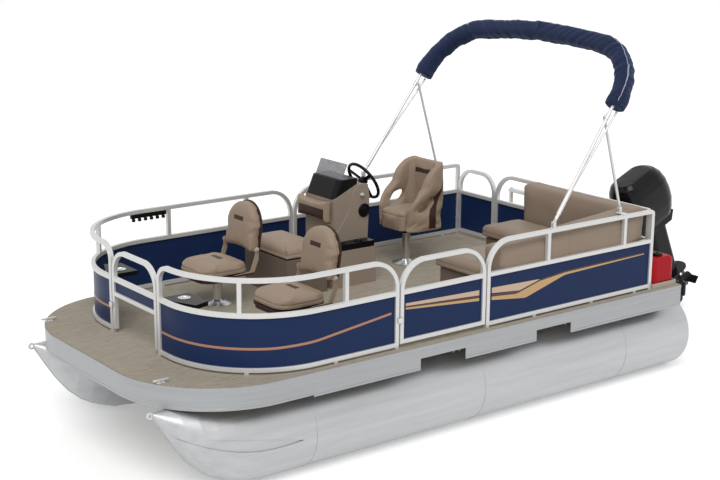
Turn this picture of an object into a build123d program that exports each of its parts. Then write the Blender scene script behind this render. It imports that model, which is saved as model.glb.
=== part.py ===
from build123d import *
from math import asin, cos, degrees, pi, radians, sin, sqrt
import os

os.makedirs("parts", exist_ok=True)

# Frame: +X to the bow, +Y to port, +Z up, z = 0 under the tubes, x = 0 amidships
# of the whole boat with its outboard. All sizes are in millimetres.

# Deck
DECK_FRONT_X = 3127.7
DECK_LENGTH = 4656.0
BEAM = 2440.0
DECK_BOARD = 19.0
DECK_CORNER_R = 760.0
DECK_REAR_X = DECK_FRONT_X - DECK_LENGTH

# Tubes, brackets and cross channels, which together carry the deck at its height
TUBE_R = 305.0
TUBE_INSET = 345.0
TUBE_Y = BEAM / 2 - TUBE_INSET
TUBE_REAR_OVERHANG = 180.0
STERN_RAIL_GAP = 12.0
NOSE_LENGTH = 768.0
NOSE_TIP_OVERHANG = 19.0
BRACKET_HEIGHT = 62.0
CROSS_HEIGHT = 85.0
CROSS_COUNT = 11
CROSS_WIDTH = 60.0
CROSS_WALL = 5.0
DECK_TOP_Z = 2 * TUBE_R + BRACKET_HEIGHT + CROSS_HEIGHT + DECK_BOARD

# Rails round the deck: wall, depth under the deck's top, beads along both edges
SKIRT_WALL = 5.0
SKIRT_LIP = 5.0
SKIRT_GAP = 0.6
SKIRT_BOTTOM_Z = DECK_TOP_Z - 174.0
BOW_RAIL_BOTTOM_Z = DECK_TOP_Z - 160.0
BOW_RAIL_LENGTH = 1035.0
BEAD_OUT = 2.0
TOP_BEAD = 26.0
LOW_BEAD = 16.0
NOTCH_TOP_Z = DECK_TOP_Z - 91.0
# Hand notches in the lower edge of a side rail: place along the deck, length
NOTCHES = ((0.4626, 415.0), (0.695, 356.0))

# Motor pod
POD_WIDTH = 600.0
POD_TOP_Z = 2 * TUBE_R + BRACKET_HEIGHT
POD_LENGTH_AFT = 800.0
POD_LENGTH_FORWARD = 800.0
POD_KEEL_Z = 190.0
POD_KEEL_LENGTH = 600.0
POD_FRONT_Z = 480.0
TRANSOM_TOP_Z = DECK_TOP_Z - 76.0
TRANSOM_THICK = 40.0
TRANSOM_WIDTH = 460.0

# Fences
RAIL = 30.0
FENCE_INSET = 49.0
FENCE_OUT_Y = BEAM / 2 - FENCE_INSET
FENCE_Y = FENCE_OUT_Y - RAIL / 2
FENCE_TOP = 646.0
GATE_TOP = 620.0
MID_RAIL_TOP = 410.0
FOOT = 14.0
PANEL = 3.0
FENCE_BOW_X = DECK_FRONT_X - 397.0
FENCE_STERN_X = DECK_REAR_X + 325.0
FENCE_CORNER_R = 700.0
ARCH_R = 200.0
BOW_ARCH_R = 110.0
GATE_GAP = 12.0
BOW_GATE_WIDTH = 624.0
SIDE_GATE_WIDTH = 783.0
STERN_GATE_WIDTH = 480.0
BOW_GATE_RAIL_UP = 290.0

# Gate hinges: height of the joint lines over the deck, knuckle, leaf
HINGE_LOW = 160.0
HINGE_HIGH = 330.0
HINGE_HEIGHT = 24.0
HINGE_R = 4.5
HINGE_THICK = 4.0
HINGE_LEAF = 12.0
HINGE_CLEAR = 0.3

TOP_Z = DECK_TOP_Z + FENCE_TOP - RAIL / 2
GATE_TOP_Z = DECK_TOP_Z + GATE_TOP - RAIL / 2
MID_Z = DECK_TOP_Z + MID_RAIL_TOP - RAIL / 2
LOW_Z = DECK_TOP_Z + FOOT + RAIL / 2
GATE_LOW_Z = DECK_TOP_Z + 30.0 + RAIL / 2


def station(share):
    """A place along the boat, from its share of the deck's length behind the front."""
    return DECK_FRONT_X - share * DECK_LENGTH


SIDE_GATE_FRONT_X = station(0.3862)
STARBOARD_JOINT_X = station(0.5384)


def export(solid, name):
    """Label one finished piece and write it to its STEP file."""
    solid.label = name
    export_step(solid, f"parts/{name}.step")


def bent(points, radius):
    """A path through points, bent at its inner points."""
    with BuildLine(mode=Mode.PRIVATE) as line:
        FilletPolyline(*points, radius=radius)
    return line.wires()[0]


def deck_outline(inset, front, rear):
    """The deck's outline in plan, drawn in by inset, with its round bow corners."""
    half = BEAM / 2 - inset
    r = DECK_CORNER_R - inset
    with BuildLine(mode=Mode.PRIVATE) as edge:
        Polyline(
            (front - inset - r, half),
            (rear + inset, half),
            (rear + inset, -half),
            (front - inset - r, -half),
        )
        ThreePointArc(
            (front - inset - r, -half),
            (front - inset - r + r * sin(radians(45)), -half + r - r * cos(radians(45))),
            (front - inset, -half + r),
        )
        Line((front - inset, -half + r), (front - inset, half - r))
        ThreePointArc(
            (front - inset, half - r),
            (front - inset - r + r * sin(radians(45)), half - r + r * cos(radians(45))),
            (front - inset - r, half),
        )
    return edge.line


# Deck board
with BuildPart() as deck_board:
    with BuildSketch(Plane.XY.offset(DECK_TOP_Z - DECK_BOARD)):
        with BuildLine():
            add(deck_outline(SKIRT_WALL, DECK_FRONT_X, DECK_REAR_X))
        make_face()
    extrude(amount=DECK_BOARD)
export(deck_board.part, "deck_board")

# Rails round the deck's edge: two sides, the bow with its corners, the stern
SKIRT_SPLIT_X = DECK_FRONT_X - BOW_RAIL_LENGTH
SKIRT_TOP_Z = DECK_TOP_Z - SKIRT_LIP

STERN_RAIL_BOTTOM_Z = 2 * TUBE_R + STERN_RAIL_GAP
STERN_RAIL_WIDTH = BEAM - 2 * SKIRT_WALL - 2 * SKIRT_GAP
SIDE_RAIL_FRONT_X = SKIRT_SPLIT_X - SKIRT_GAP
with BuildPart() as deck_rails:
    with BuildSketch(Plane.XY.offset(BOW_RAIL_BOTTOM_Z)):
        with BuildLine():
            add(deck_outline(0, DECK_FRONT_X, DECK_REAR_X))
        make_face()
        with BuildLine():
            add(deck_outline(SKIRT_WALL, DECK_FRONT_X, DECK_REAR_X))
        make_face(mode=Mode.SUBTRACT)
    extrude(amount=SKIRT_TOP_Z - BOW_RAIL_BOTTOM_Z)
    with BuildSketch(Plane.XY.offset(BOW_RAIL_BOTTOM_Z + LOW_BEAD)):
        with BuildLine():
            add(deck_outline(0, DECK_FRONT_X, DECK_REAR_X))
        make_face()
        with BuildLine():
            add(deck_outline(BEAD_OUT, DECK_FRONT_X, DECK_REAR_X))
        make_face(mode=Mode.SUBTRACT)
    extrude(amount=SKIRT_TOP_Z - BOW_RAIL_BOTTOM_Z - LOW_BEAD - TOP_BEAD, mode=Mode.SUBTRACT)
    split(bisect_by=Plane.YZ.offset(SKIRT_SPLIT_X), keep=Keep.TOP)
    for side in (1, -1):
        with BuildSketch(Plane.XZ.offset(-side * (BEAM / 2 - SKIRT_WALL / 2))):
            with Locations(((SIDE_RAIL_FRONT_X + DECK_REAR_X) / 2, (SKIRT_TOP_Z + SKIRT_BOTTOM_Z) / 2)):
                Rectangle(SIDE_RAIL_FRONT_X - DECK_REAR_X, SKIRT_TOP_Z - SKIRT_BOTTOM_Z)
            for share, length in NOTCHES:
                with Locations((station(share), SKIRT_BOTTOM_Z)):
                    Rectangle(length, 2 * (NOTCH_TOP_Z - SKIRT_BOTTOM_Z), mode=Mode.SUBTRACT)
        extrude(amount=SKIRT_WALL / 2, both=True)
        with BuildSketch(Plane.XZ.offset(-side * BEAM / 2)):
            web_z = (SKIRT_TOP_Z - TOP_BEAD + SKIRT_BOTTOM_Z + LOW_BEAD) / 2
            with Locations(((SIDE_RAIL_FRONT_X + DECK_REAR_X) / 2, web_z)):
                Rectangle(
                    SIDE_RAIL_FRONT_X - DECK_REAR_X + 2 * SKIRT_WALL,
                    SKIRT_TOP_Z - SKIRT_BOTTOM_Z - LOW_BEAD - TOP_BEAD,
                )
        extrude(amount=BEAD_OUT, both=True, mode=Mode.SUBTRACT)
    with BuildSketch(Plane.YZ.offset(DECK_REAR_X)):
        with Locations((0, (SKIRT_TOP_Z + STERN_RAIL_BOTTOM_Z) / 2)):
            Rectangle(STERN_RAIL_WIDTH, SKIRT_TOP_Z - STERN_RAIL_BOTTOM_Z)
        with Locations((0, STERN_RAIL_BOTTOM_Z)):
            Rectangle(POD_WIDTH + 10.0, 2 * (POD_TOP_Z - STERN_RAIL_BOTTOM_Z) + 4.0, mode=Mode.SUBTRACT)
    extrude(amount=SKIRT_WALL)
export(deck_rails.part, "deck_rails")

# Tubes with their drawn-up noses, level on top: weld seams round them, a leaf-shaped
# recess pressed into each outer side and a stem bar down the middle
NOSE_REAR_X = DECK_FRONT_X + NOSE_TIP_OVERHANG - NOSE_LENGTH
TUBE_REAR_X = DECK_REAR_X - TUBE_REAR_OVERHANG
# Nose sections: share of the nose's length from its weld, share of the tube's radius
NOSE_SECTIONS = (
    (0.0, 1.0),
    (0.19, 0.98),
    (0.36, 0.915),
    (0.51, 0.81),
    (0.65, 0.665),
    (0.79, 0.456),
    (0.9, 0.25),
    (1.0, 0.05),
)

# Pressed recess along each nose: depth, place behind the nose's tip, length, heights
RECESS_DEEP = 10.0
RECESS_TIP_X = 112.0
RECESS_LENGTH = 852.0
RECESS_FRONT_Z = 443.0
RECESS_REAR_Z = 300.0
RECESS_HALF = 36.0
# Weld seams round the tubes, behind the deck's front, and their bead
SEAMS = (0.2362, 0.56, 0.88)
SEAM_WIDTH = 8.0
SEAM_RISE = 2.0
# Stem bar down the nose, and the room kept for the tow eye ahead of the tip
STEM_THICK = 8.0
STEM_RISE = 7.0
TOW_EYE_R = 24.0
TOW_EYE_AHEAD = 40.0
BRACKET_REAR_X = DECK_REAR_X + 60.0
BRACKET_FRONT_X = DECK_FRONT_X - 700.0
BRACKET_WIDTH = 150.0
NOSE_TIP_X = NOSE_REAR_X + NOSE_LENGTH - TOW_EYE_AHEAD
NOSE_RUN = NOSE_TIP_X - NOSE_REAR_X
TOW_EYE_X = NOSE_TIP_X + TOW_EYE_AHEAD - TOW_EYE_R
TOW_EYE_Z = 2 * TUBE_R - 15.0


def nose(side, skin):
    """One drawn-up nose, or the same drawn in by a skin."""
    with BuildPart(mode=Mode.PRIVATE) as cone:
        for along, share in NOSE_SECTIONS:
            with BuildSketch(Plane.YZ.offset(NOSE_REAR_X + along * NOSE_RUN)):
                with Locations((side * TUBE_Y, 2 * TUBE_R - share * TUBE_R)):
                    Circle(share * TUBE_R - skin * share)
        loft(ruled=True)
    return cone.part


def nose_recess(side):
    """The leaf-shaped dent in the outer side of one nose, cut to its own floor."""
    front = (NOSE_TIP_X - RECESS_TIP_X, RECESS_FRONT_Z)
    rear = (front[0] - RECESS_LENGTH, RECESS_REAR_Z)
    drop = RECESS_FRONT_Z - RECESS_REAR_Z
    crown = (front[0] - 0.3 * RECESS_LENGTH, RECESS_FRONT_Z - 0.42 * drop + RECESS_HALF)
    belly = (front[0] - 0.3 * RECESS_LENGTH, RECESS_FRONT_Z - 0.42 * drop - RECESS_HALF)
    with BuildPart(mode=Mode.PRIVATE) as dent:
        with BuildSketch(Plane.XZ.offset(-side * TUBE_Y)):
            with BuildLine():
                ThreePointArc(front, crown, rear)
                ThreePointArc(rear, belly, front)
            make_face()
        extrude(amount=-side * 2 * TUBE_R)
        add(nose(side, RECESS_DEEP), mode=Mode.SUBTRACT)
        with BuildSketch(Plane.YZ.offset(TUBE_REAR_X)):
            with Locations((side * TUBE_Y, TUBE_R)):
                Circle(TUBE_R - RECESS_DEEP)
        extrude(amount=NOSE_REAR_X - TUBE_REAR_X, mode=Mode.SUBTRACT)
    return dent.part


def seam(side, share):
    """One weld bead round both flanks of a tube, open over it and ground flush below."""
    with BuildPart(mode=Mode.PRIVATE) as bead:
        with BuildSketch(Plane.YZ.offset(station(share))):
            with Locations((side * TUBE_Y, TUBE_R)):
                Circle(TUBE_R + SEAM_RISE)
                Circle(TUBE_R - SEAM_RISE, mode=Mode.SUBTRACT)
                Rectangle(BRACKET_WIDTH + 2 * SEAM_WIDTH, 3 * TUBE_R, mode=Mode.SUBTRACT)
        extrude(amount=SEAM_WIDTH)
    return bead.part


def stem(side):
    """The bar down the middle of a nose, from under its tip to the foot of its rise."""
    low = [
        (NOSE_REAR_X + along * NOSE_RUN, 2 * TUBE_R * (1 - share) - STEM_RISE)
        for along, share in NOSE_SECTIONS[2:]
    ]
    high = [(x, z + 3 * STEM_RISE) for x, z in reversed(low)]
    with BuildPart(mode=Mode.PRIVATE) as blade:
        with BuildSketch(Plane.XZ.offset(-side * TUBE_Y)):
            with BuildLine():
                Polyline(*low, *high, close=True)
            make_face()
        extrude(amount=STEM_THICK / 2, both=True)
    return blade.part


with BuildPart() as pontoons:
    for side in (1, -1):
        with BuildSketch(Plane.YZ.offset(TUBE_REAR_X)):
            with Locations((side * TUBE_Y, TUBE_R)):
                Circle(TUBE_R)
        extrude(amount=NOSE_REAR_X - TUBE_REAR_X)
        add(nose(side, 0.0))
        add(nose_recess(side), mode=Mode.SUBTRACT)
        for share in SEAMS:
            add(seam(side, share))
        add(stem(side))
export(pontoons.part, "pontoons")

# Brackets along the tubes, and the cross channels that they carry under the deck

with BuildPart() as tube_brackets:
    for side in (1, -1):
        with BuildSketch(Plane.YZ.offset(BRACKET_REAR_X)):
            with Locations((side * TUBE_Y, 2 * TUBE_R + BRACKET_HEIGHT / 2 - 20.0)):
                Rectangle(BRACKET_WIDTH, BRACKET_HEIGHT + 40.0)
            with Locations((side * TUBE_Y, TUBE_R)):
                Circle(TUBE_R, mode=Mode.SUBTRACT)
        extrude(amount=BRACKET_FRONT_X - BRACKET_REAR_X)
export(tube_brackets.part, "tube_brackets")

CROSS_PITCH = (BRACKET_FRONT_X - BRACKET_REAR_X - 200.0) / (CROSS_COUNT - 1)
with BuildPart() as cross_channels:
    for i in range(CROSS_COUNT):
        cross_x = BRACKET_REAR_X + 100.0 + i * CROSS_PITCH
        with BuildSketch(Plane.XZ.offset(-(BEAM / 2 - SKIRT_WALL))):
            with Locations((cross_x, 2 * TUBE_R + BRACKET_HEIGHT + CROSS_HEIGHT / 2)):
                Rectangle(CROSS_WIDTH, CROSS_HEIGHT)
            with Locations((cross_x, 2 * TUBE_R + BRACKET_HEIGHT + CROSS_HEIGHT / 2 - CROSS_WALL)):
                Rectangle(CROSS_WIDTH - 2 * CROSS_WALL, CROSS_HEIGHT, mode=Mode.SUBTRACT)
        extrude(amount=BEAM - 2 * SKIRT_WALL)
export(cross_channels.part, "cross_channels")

# Fences: bent square tube on edge posts, a middle rail and a bottom rail on short
# feet, with a thin blue panel between the two lower rails


def tube(path, start_dir):
    """A square rail along a path, its section square to the axes of the boat."""
    with BuildPart(mode=Mode.PRIVATE) as rail:
        with BuildSketch(Plane(origin=path @ 0, x_dir=start_dir, z_dir=path % 0)):
            Rectangle(RAIL, RAIL)
        sweep(path=path)
    return rail.part


def bar(x_min, x_max, y_min, y_max, z_min, z_max):
    """A plain bar given by its six faces."""
    middle = ((x_min + x_max) / 2, (y_min + y_max) / 2, (z_min + z_max) / 2)
    with BuildPart(mode=Mode.PRIVATE) as block:
        with Locations(middle):
            Box(abs(x_max - x_min), abs(y_max - y_min), z_max - z_min)
    return block.part


def upright(x, y, z_min, z_max, turn=0.0):
    """A square post centred at one place in plan, turned to the run of its rail."""
    with BuildPart(mode=Mode.PRIVATE) as post:
        with Locations(Location((x, y, (z_min + z_max) / 2), (0, 0, turn))):
            Box(RAIL, RAIL, z_max - z_min)
    return post.part


def side_upright(side, x, z_min, z_max):
    """A post under a side rail, square to it round the bow corner too."""
    past = max(x - (FENCE_BOW_X - FENCE_CORNER_R), 0.0)
    y = FENCE_Y - FENCE_CORNER_R + sqrt(FENCE_CORNER_R**2 - past**2)
    return upright(x, side * y, z_min, z_max, -side * degrees(asin(past / FENCE_CORNER_R)))


GATE_POST_Y = BOW_GATE_WIDTH / 2 + GATE_GAP + RAIL / 2
PANEL_LOW_Z = LOW_Z + RAIL / 2
PANEL_TOP_Z = MID_Z - RAIL / 2
SIDE_GATE_REAR_X = SIDE_GATE_FRONT_X - SIDE_GATE_WIDTH
PORT_BOW_REAR_X = SIDE_GATE_FRONT_X + GATE_GAP + RAIL / 2
PORT_AFT_FRONT_X = SIDE_GATE_REAR_X - GATE_GAP - RAIL / 2
STARBOARD_BOW_REAR_X = STARBOARD_JOINT_X + GATE_GAP / 2 + RAIL / 2
STARBOARD_AFT_FRONT_X = STARBOARD_JOINT_X - GATE_GAP / 2 - RAIL / 2
STERN_GATE_STARBOARD_Y = -(FENCE_OUT_Y - RAIL - GATE_GAP)
STERN_GATE_PORT_Y = STERN_GATE_STARBOARD_Y + STERN_GATE_WIDTH
STERN_FENCE_Y = STERN_GATE_PORT_Y + GATE_GAP + RAIL / 2


# Hinge axes in plan, just inside the fences: bow gate to port, the others to their ends
BOW_HINGE = (FENCE_BOW_X - RAIL / 2 - HINGE_THICK / 2, BOW_GATE_WIDTH / 2 + GATE_GAP / 2)
SIDE_HINGE = (SIDE_GATE_REAR_X - GATE_GAP / 2, FENCE_Y - RAIL / 2 - HINGE_THICK / 2)
STERN_HINGE = (FENCE_STERN_X + RAIL / 2 + HINGE_THICK / 2, STERN_GATE_STARBOARD_Y - GATE_GAP / 2)


def bow_fence(side, rear_x, uprights_x, feet_x):
    """One bow fence: gate post, round corner, side run and rear post."""
    gate_y = side * GATE_POST_Y
    side_y = side * FENCE_Y
    corners = [
        (FENCE_BOW_X, gate_y, DECK_TOP_Z),
        (FENCE_BOW_X, gate_y, TOP_Z),
        (FENCE_BOW_X, side_y, TOP_Z),
        (rear_x, side_y, TOP_Z),
        (rear_x, side_y, DECK_TOP_Z),
    ]
    top = bent(corners, [BOW_ARCH_R, FENCE_CORNER_R, ARCH_R])
    with BuildPart(mode=Mode.PRIVATE) as fence:
        add(tube(top, (1, 0, 0)))
        for z in (MID_Z, LOW_Z):
            level = [(FENCE_BOW_X, gate_y, z), (FENCE_BOW_X, side_y, z), (rear_x, side_y, z)]
            add(tube(bent(level, FENCE_CORNER_R), (1, 0, 0)))
        for x in uprights_x:
            add(side_upright(side, x, MID_Z, TOP_Z))
        for x in feet_x:
            add(side_upright(side, x, DECK_TOP_Z, LOW_Z))
    return fence.part


def bow_panel(side, rear_x):
    """The curved panel of one bow fence, from the gate post to the rear post."""
    first_y = side * (GATE_POST_Y + RAIL / 2)
    level = [
        (FENCE_BOW_X, first_y, PANEL_LOW_Z),
        (FENCE_BOW_X, side * FENCE_Y, PANEL_LOW_Z),
        (rear_x + RAIL / 2, side * FENCE_Y, PANEL_LOW_Z),
    ]
    path = bent(level, FENCE_CORNER_R)
    with BuildPart(mode=Mode.PRIVATE) as panel:
        with BuildSketch(Plane(origin=path @ 0, x_dir=(1, 0, 0), z_dir=path % 0)):
            with Locations((0, -side * (PANEL_TOP_Z - PANEL_LOW_Z) / 2)):
                Rectangle(PANEL, PANEL_TOP_Z - PANEL_LOW_Z)
        sweep(path=path)
    return panel.part


def frame(start, finish, radii, levels, posts, feet):
    """A straight fence or gate: an arch over two posts, level rails, uprights, feet."""
    (x0, y0, z0), (x1, y1, z1) = start, finish
    arch = [(x0, y0, z0), (x0, y0, z1), (x1, y1, z1), (x1, y1, z0)]
    side_dir = (0, 1, 0) if y0 == y1 else (1, 0, 0)
    with BuildPart(mode=Mode.PRIVATE) as fence:
        add(tube(bent(arch, radii), side_dir))
        for z in levels:
            with BuildLine(mode=Mode.PRIVATE) as level:
                Line((x0, y0, z), (x1, y1, z))
            add(tube(level.wires()[0], side_dir))
        for x, y in posts:
            add(upright(x, y, levels[0], z1))
        for x, y in feet:
            add(upright(x, y, DECK_TOP_Z, levels[-1]))
    return fence.part


def hinge_half(axis, toward, inward, half):
    """Two knuckles with their leaves: half 0 hangs below each joint line, 1 above."""
    ax, ay = axis
    tx, ty = toward
    reach = GATE_GAP / 2 + HINGE_LEAF
    thick_x = abs(inward[0]) * HINGE_THICK / 2
    thick_y = abs(inward[1]) * HINGE_THICK / 2
    with BuildPart(mode=Mode.PRIVATE) as leaves:
        for joint_z in (DECK_TOP_Z + HINGE_LOW, DECK_TOP_Z + HINGE_HIGH):
            z_min = joint_z + HINGE_CLEAR if half else joint_z - HINGE_HEIGHT
            z_max = joint_z + HINGE_HEIGHT if half else joint_z
            with Locations((ax, ay, (z_min + z_max) / 2)):
                Cylinder(HINGE_R, z_max - z_min)
            x_ends = sorted((ax - thick_x, ax + thick_x + tx * reach))
            y_ends = sorted((ay - thick_y, ay + thick_y + ty * reach))
            add(bar(x_ends[0], x_ends[1], y_ends[0], y_ends[1], z_min, z_max))
    return leaves.part


def joined(*solids):
    """One solid from pieces that run into each other."""
    with BuildPart(mode=Mode.PRIVATE) as whole:
        for solid in solids:
            add(solid)
    return whole.part


def flat_panel(start, finish, z_min, z_max):
    """A flat panel between two posts, on the middle plane of its fence."""
    (x0, y0), (x1, y1) = start, finish
    inner = RAIL / 2
    if y0 == y1:
        return bar(min(x0, x1) + inner, max(x0, x1) - inner, y0 - PANEL / 2, y0 + PANEL / 2, z_min, z_max)
    return bar(x0 - PANEL / 2, x0 + PANEL / 2, min(y0, y1) + inner, max(y0, y1) - inner, z_min, z_max)


# Uprights and feet of the side fences, as shares of the deck's length
PORT_BOW_UPRIGHTS = (0.134, 0.288)
STARBOARD_BOW_UPRIGHTS = (0.134, 0.2848, 0.4403)
PORT_BOW_FEET = (0.1409, 0.2691)
STARBOARD_BOW_FEET = (0.1409, 0.2691, 0.3973)
AFT_UPRIGHTS = (0.6877, 0.863)
AFT_FEET = (0.6602, 0.7895, 0.8928)


def places(shares):
    """Places along the boat from their shares of the deck's length."""
    return [station(share) for share in shares]


bow_fence_port = joined(
    bow_fence(1, PORT_BOW_REAR_X, places(PORT_BOW_UPRIGHTS), places(PORT_BOW_FEET)),
    hinge_half(BOW_HINGE, (0, 1), (-1, 0), 0),
)
export(bow_fence_port, "bow_fence_port")
export(
    bow_fence(-1, STARBOARD_BOW_REAR_X, places(STARBOARD_BOW_UPRIGHTS), places(STARBOARD_BOW_FEET)),
    "bow_fence_starboard",
)

# Aft side fences: round at their front corner, square at the stern corner
SQUARE_R = RAIL * 0.7
for side, front_x, name in (
    (1, PORT_AFT_FRONT_X, "port"),
    (-1, STARBOARD_AFT_FRONT_X, "starboard"),
):
    y = side * FENCE_Y
    aft_fence = frame(
        (front_x, y, DECK_TOP_Z),
        (FENCE_STERN_X, y, TOP_Z),
        [ARCH_R, SQUARE_R],
        [MID_Z, LOW_Z],
        [(x, y) for x in places(AFT_UPRIGHTS)],
        [(x, y) for x in places(AFT_FEET)],
    )
    if side == 1:
        aft_fence = joined(aft_fence, hinge_half(SIDE_HINGE, (-1, 0), (0, -1), 0))
    else:
        aft_fence = joined(aft_fence, hinge_half(STERN_HINGE, (0, -1), (1, 0), 0))
    export(aft_fence, f"aft_fence_{name}")

# Stern fence behind the lounge, beside the stern gate
STERN_FENCE_PORT_Y = FENCE_Y - RAIL
stern_fence = frame(
    (FENCE_STERN_X, STERN_FENCE_Y, DECK_TOP_Z),
    (FENCE_STERN_X, STERN_FENCE_PORT_Y, TOP_Z),
    [ARCH_R, SQUARE_R],
    [MID_Z, LOW_Z],
    [(FENCE_STERN_X, (STERN_FENCE_Y + STERN_FENCE_PORT_Y) / 2)],
    [(FENCE_STERN_X, (STERN_FENCE_Y + STERN_FENCE_PORT_Y) / 2)],
)
export(stern_fence, "stern_fence")

# Panels of the fixed fences
with BuildPart() as fence_panels:
    add(bow_panel(1, PORT_BOW_REAR_X))
    add(bow_panel(-1, STARBOARD_BOW_REAR_X))
    for side, front_x in ((1, PORT_AFT_FRONT_X), (-1, STARBOARD_AFT_FRONT_X)):
        y = side * FENCE_Y
        add(flat_panel((front_x, y), (FENCE_STERN_X, y), PANEL_LOW_Z, PANEL_TOP_Z))
    stern_ends = ((FENCE_STERN_X, STERN_FENCE_Y), (FENCE_STERN_X, STERN_FENCE_PORT_Y))
    add(flat_panel(stern_ends[0], stern_ends[1], PANEL_LOW_Z, PANEL_TOP_Z))
export(fence_panels.part, "fence_panels")

# Gates: each an arch closed by a bottom rail, with its panel
GATE_PANEL_LOW_Z = GATE_LOW_Z + RAIL / 2
BOW_GATE_LOW_Z = DECK_TOP_Z + BOW_GATE_RAIL_UP
bow_gate_y = BOW_GATE_WIDTH / 2 - RAIL / 2
bow_gate = frame(
    (FENCE_BOW_X, -bow_gate_y, GATE_LOW_Z - RAIL / 2),
    (FENCE_BOW_X, bow_gate_y, GATE_TOP_Z),
    [ARCH_R * 0.8, ARCH_R * 0.8],
    [MID_Z, BOW_GATE_LOW_Z],
    [],
    [],
)
export(joined(bow_gate, hinge_half(BOW_HINGE, (0, -1), (-1, 0), 1)), "bow_gate")
bow_gate_panel = flat_panel(
    (FENCE_BOW_X, -bow_gate_y),
    (FENCE_BOW_X, bow_gate_y),
    BOW_GATE_LOW_Z + RAIL / 2,
    PANEL_TOP_Z,
)
export(bow_gate_panel, "bow_gate_panel")

side_gate_x = (SIDE_GATE_REAR_X + RAIL / 2, SIDE_GATE_FRONT_X - RAIL / 2)
side_gate = frame(
    (side_gate_x[0], FENCE_Y, GATE_LOW_Z - RAIL / 2),
    (side_gate_x[1], FENCE_Y, GATE_TOP_Z),
    [ARCH_R, ARCH_R],
    [MID_Z, GATE_LOW_Z],
    [],
    [],
)
export(joined(side_gate, hinge_half(SIDE_HINGE, (1, 0), (0, -1), 1)), "side_gate")
side_gate_panel = flat_panel(
    (side_gate_x[0], FENCE_Y),
    (side_gate_x[1], FENCE_Y),
    GATE_PANEL_LOW_Z,
    PANEL_TOP_Z,
)
export(side_gate_panel, "side_gate_panel")

stern_gate_y = (STERN_GATE_STARBOARD_Y + RAIL / 2, STERN_GATE_PORT_Y - RAIL / 2)
stern_gate = frame(
    (FENCE_STERN_X, stern_gate_y[0], GATE_LOW_Z - RAIL / 2),
    (FENCE_STERN_X, stern_gate_y[1], GATE_TOP_Z),
    [ARCH_R * 0.8, ARCH_R * 0.8],
    [MID_Z, GATE_LOW_Z],
    [],
    [],
)
export(joined(stern_gate, hinge_half(STERN_HINGE, (0, 1), (1, 0), 1)), "stern_gate")
stern_gate_panel = flat_panel(
    (FENCE_STERN_X, stern_gate_y[0]),
    (FENCE_STERN_X, stern_gate_y[1]),
    GATE_PANEL_LOW_Z,
    PANEL_TOP_Z,
)
export(stern_gate_panel, "stern_gate_panel")

# Latch boxes on the fence posts' outer faces, each lapping over a gate's free edge
LATCH_Z = DECK_TOP_Z + 205.0
LATCH = (14.0, 44.0, 36.0)
LATCH_CLEAR = 0.5
with BuildPart() as gate_latches:
    bow_latch_x = FENCE_BOW_X + RAIL / 2
    with Locations((bow_latch_x + LATCH[0] / 2, -(BOW_GATE_WIDTH + GATE_GAP) / 2, LATCH_Z)):
        Box(LATCH[0], LATCH[1], LATCH[2])
    with Locations((SIDE_GATE_FRONT_X + GATE_GAP / 2, FENCE_OUT_Y + LATCH[0] / 2, LATCH_Z)):
        Box(LATCH[1], LATCH[0], LATCH[2])
    with Locations((FENCE_STERN_X - RAIL / 2 - LATCH[0] / 2, STERN_GATE_PORT_Y + GATE_GAP / 2, LATCH_Z)):
        Box(LATCH[0], LATCH[1], LATCH[2])
    with Locations((bow_latch_x, -BOW_GATE_WIDTH / 2 + LATCH[1] / 2, LATCH_Z)):
        Box(2 * LATCH_CLEAR, LATCH[1], LATCH[2], mode=Mode.SUBTRACT)
    with Locations((SIDE_GATE_FRONT_X - LATCH[1] / 2, FENCE_OUT_Y, LATCH_Z)):
        Box(LATCH[1], 2 * LATCH_CLEAR, LATCH[2], mode=Mode.SUBTRACT)
    with Locations((FENCE_STERN_X - RAIL / 2, STERN_GATE_PORT_Y - LATCH[1] / 2, LATCH_Z)):
        Box(2 * LATCH_CLEAR, LATCH[1], LATCH[2], mode=Mode.SUBTRACT)
export(gate_latches.part, "gate_latches")

# Seat pedestals: a base ring on the deck and a post; the swivel plates turn on top
BOW_SEAT_X = station(0.2923)
BOW_SEAT_Y = BEAM / 2 - 720.0
HELM_X = station(0.7053)
HELM_Y = -(BEAM / 2 - 620.0)
PEDESTAL_R = 115.0
POST_R = 35.0
BOW_SEAT_Z = DECK_TOP_Z + 245.0
HELM_SEAT_Z = DECK_TOP_Z + 290.0
SWIVEL_THICK = 14.0
SWIVEL_CLEAR = 0.3
# Seats: x, y, height of the swivel's lower face
SEATS = (
    (BOW_SEAT_X, BOW_SEAT_Y, BOW_SEAT_Z),
    (BOW_SEAT_X, -BOW_SEAT_Y, BOW_SEAT_Z),
    (HELM_X, HELM_Y, HELM_SEAT_Z),
)
with BuildPart() as seat_pedestals:
    for seat_x, seat_y, seat_z in SEATS:
        with BuildSketch(Plane(origin=(seat_x, seat_y, DECK_TOP_Z), x_dir=(1, 0, 0), z_dir=(0, -1, 0))):
            with BuildLine():
                Polyline(
                    (0, 0),
                    (PEDESTAL_R, 0),
                    (PEDESTAL_R, 8),
                    (POST_R + 12, 26),
                    (POST_R, 40),
                    (POST_R, seat_z - DECK_TOP_Z - SWIVEL_CLEAR),
                    (0, seat_z - DECK_TOP_Z - SWIVEL_CLEAR),
                    close=True,
                )
            make_face()
        revolve(axis=Axis((seat_x, seat_y, 0), (0, 0, 1)))
export(seat_pedestals.part, "seat_pedestals")


def across(points, y_min, y_max):
    """A solid with one side profile (x, z), from y_min to y_max."""
    side_plane = Plane(origin=(0, y_max, 0), x_dir=(1, 0, 0), z_dir=(0, -1, 0))
    with BuildPart(mode=Mode.PRIVATE) as solid:
        with BuildSketch(side_plane):
            with BuildLine():
                Polyline(*points, close=True)
            make_face()
        extrude(amount=y_max - y_min)
    return solid.part


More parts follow.
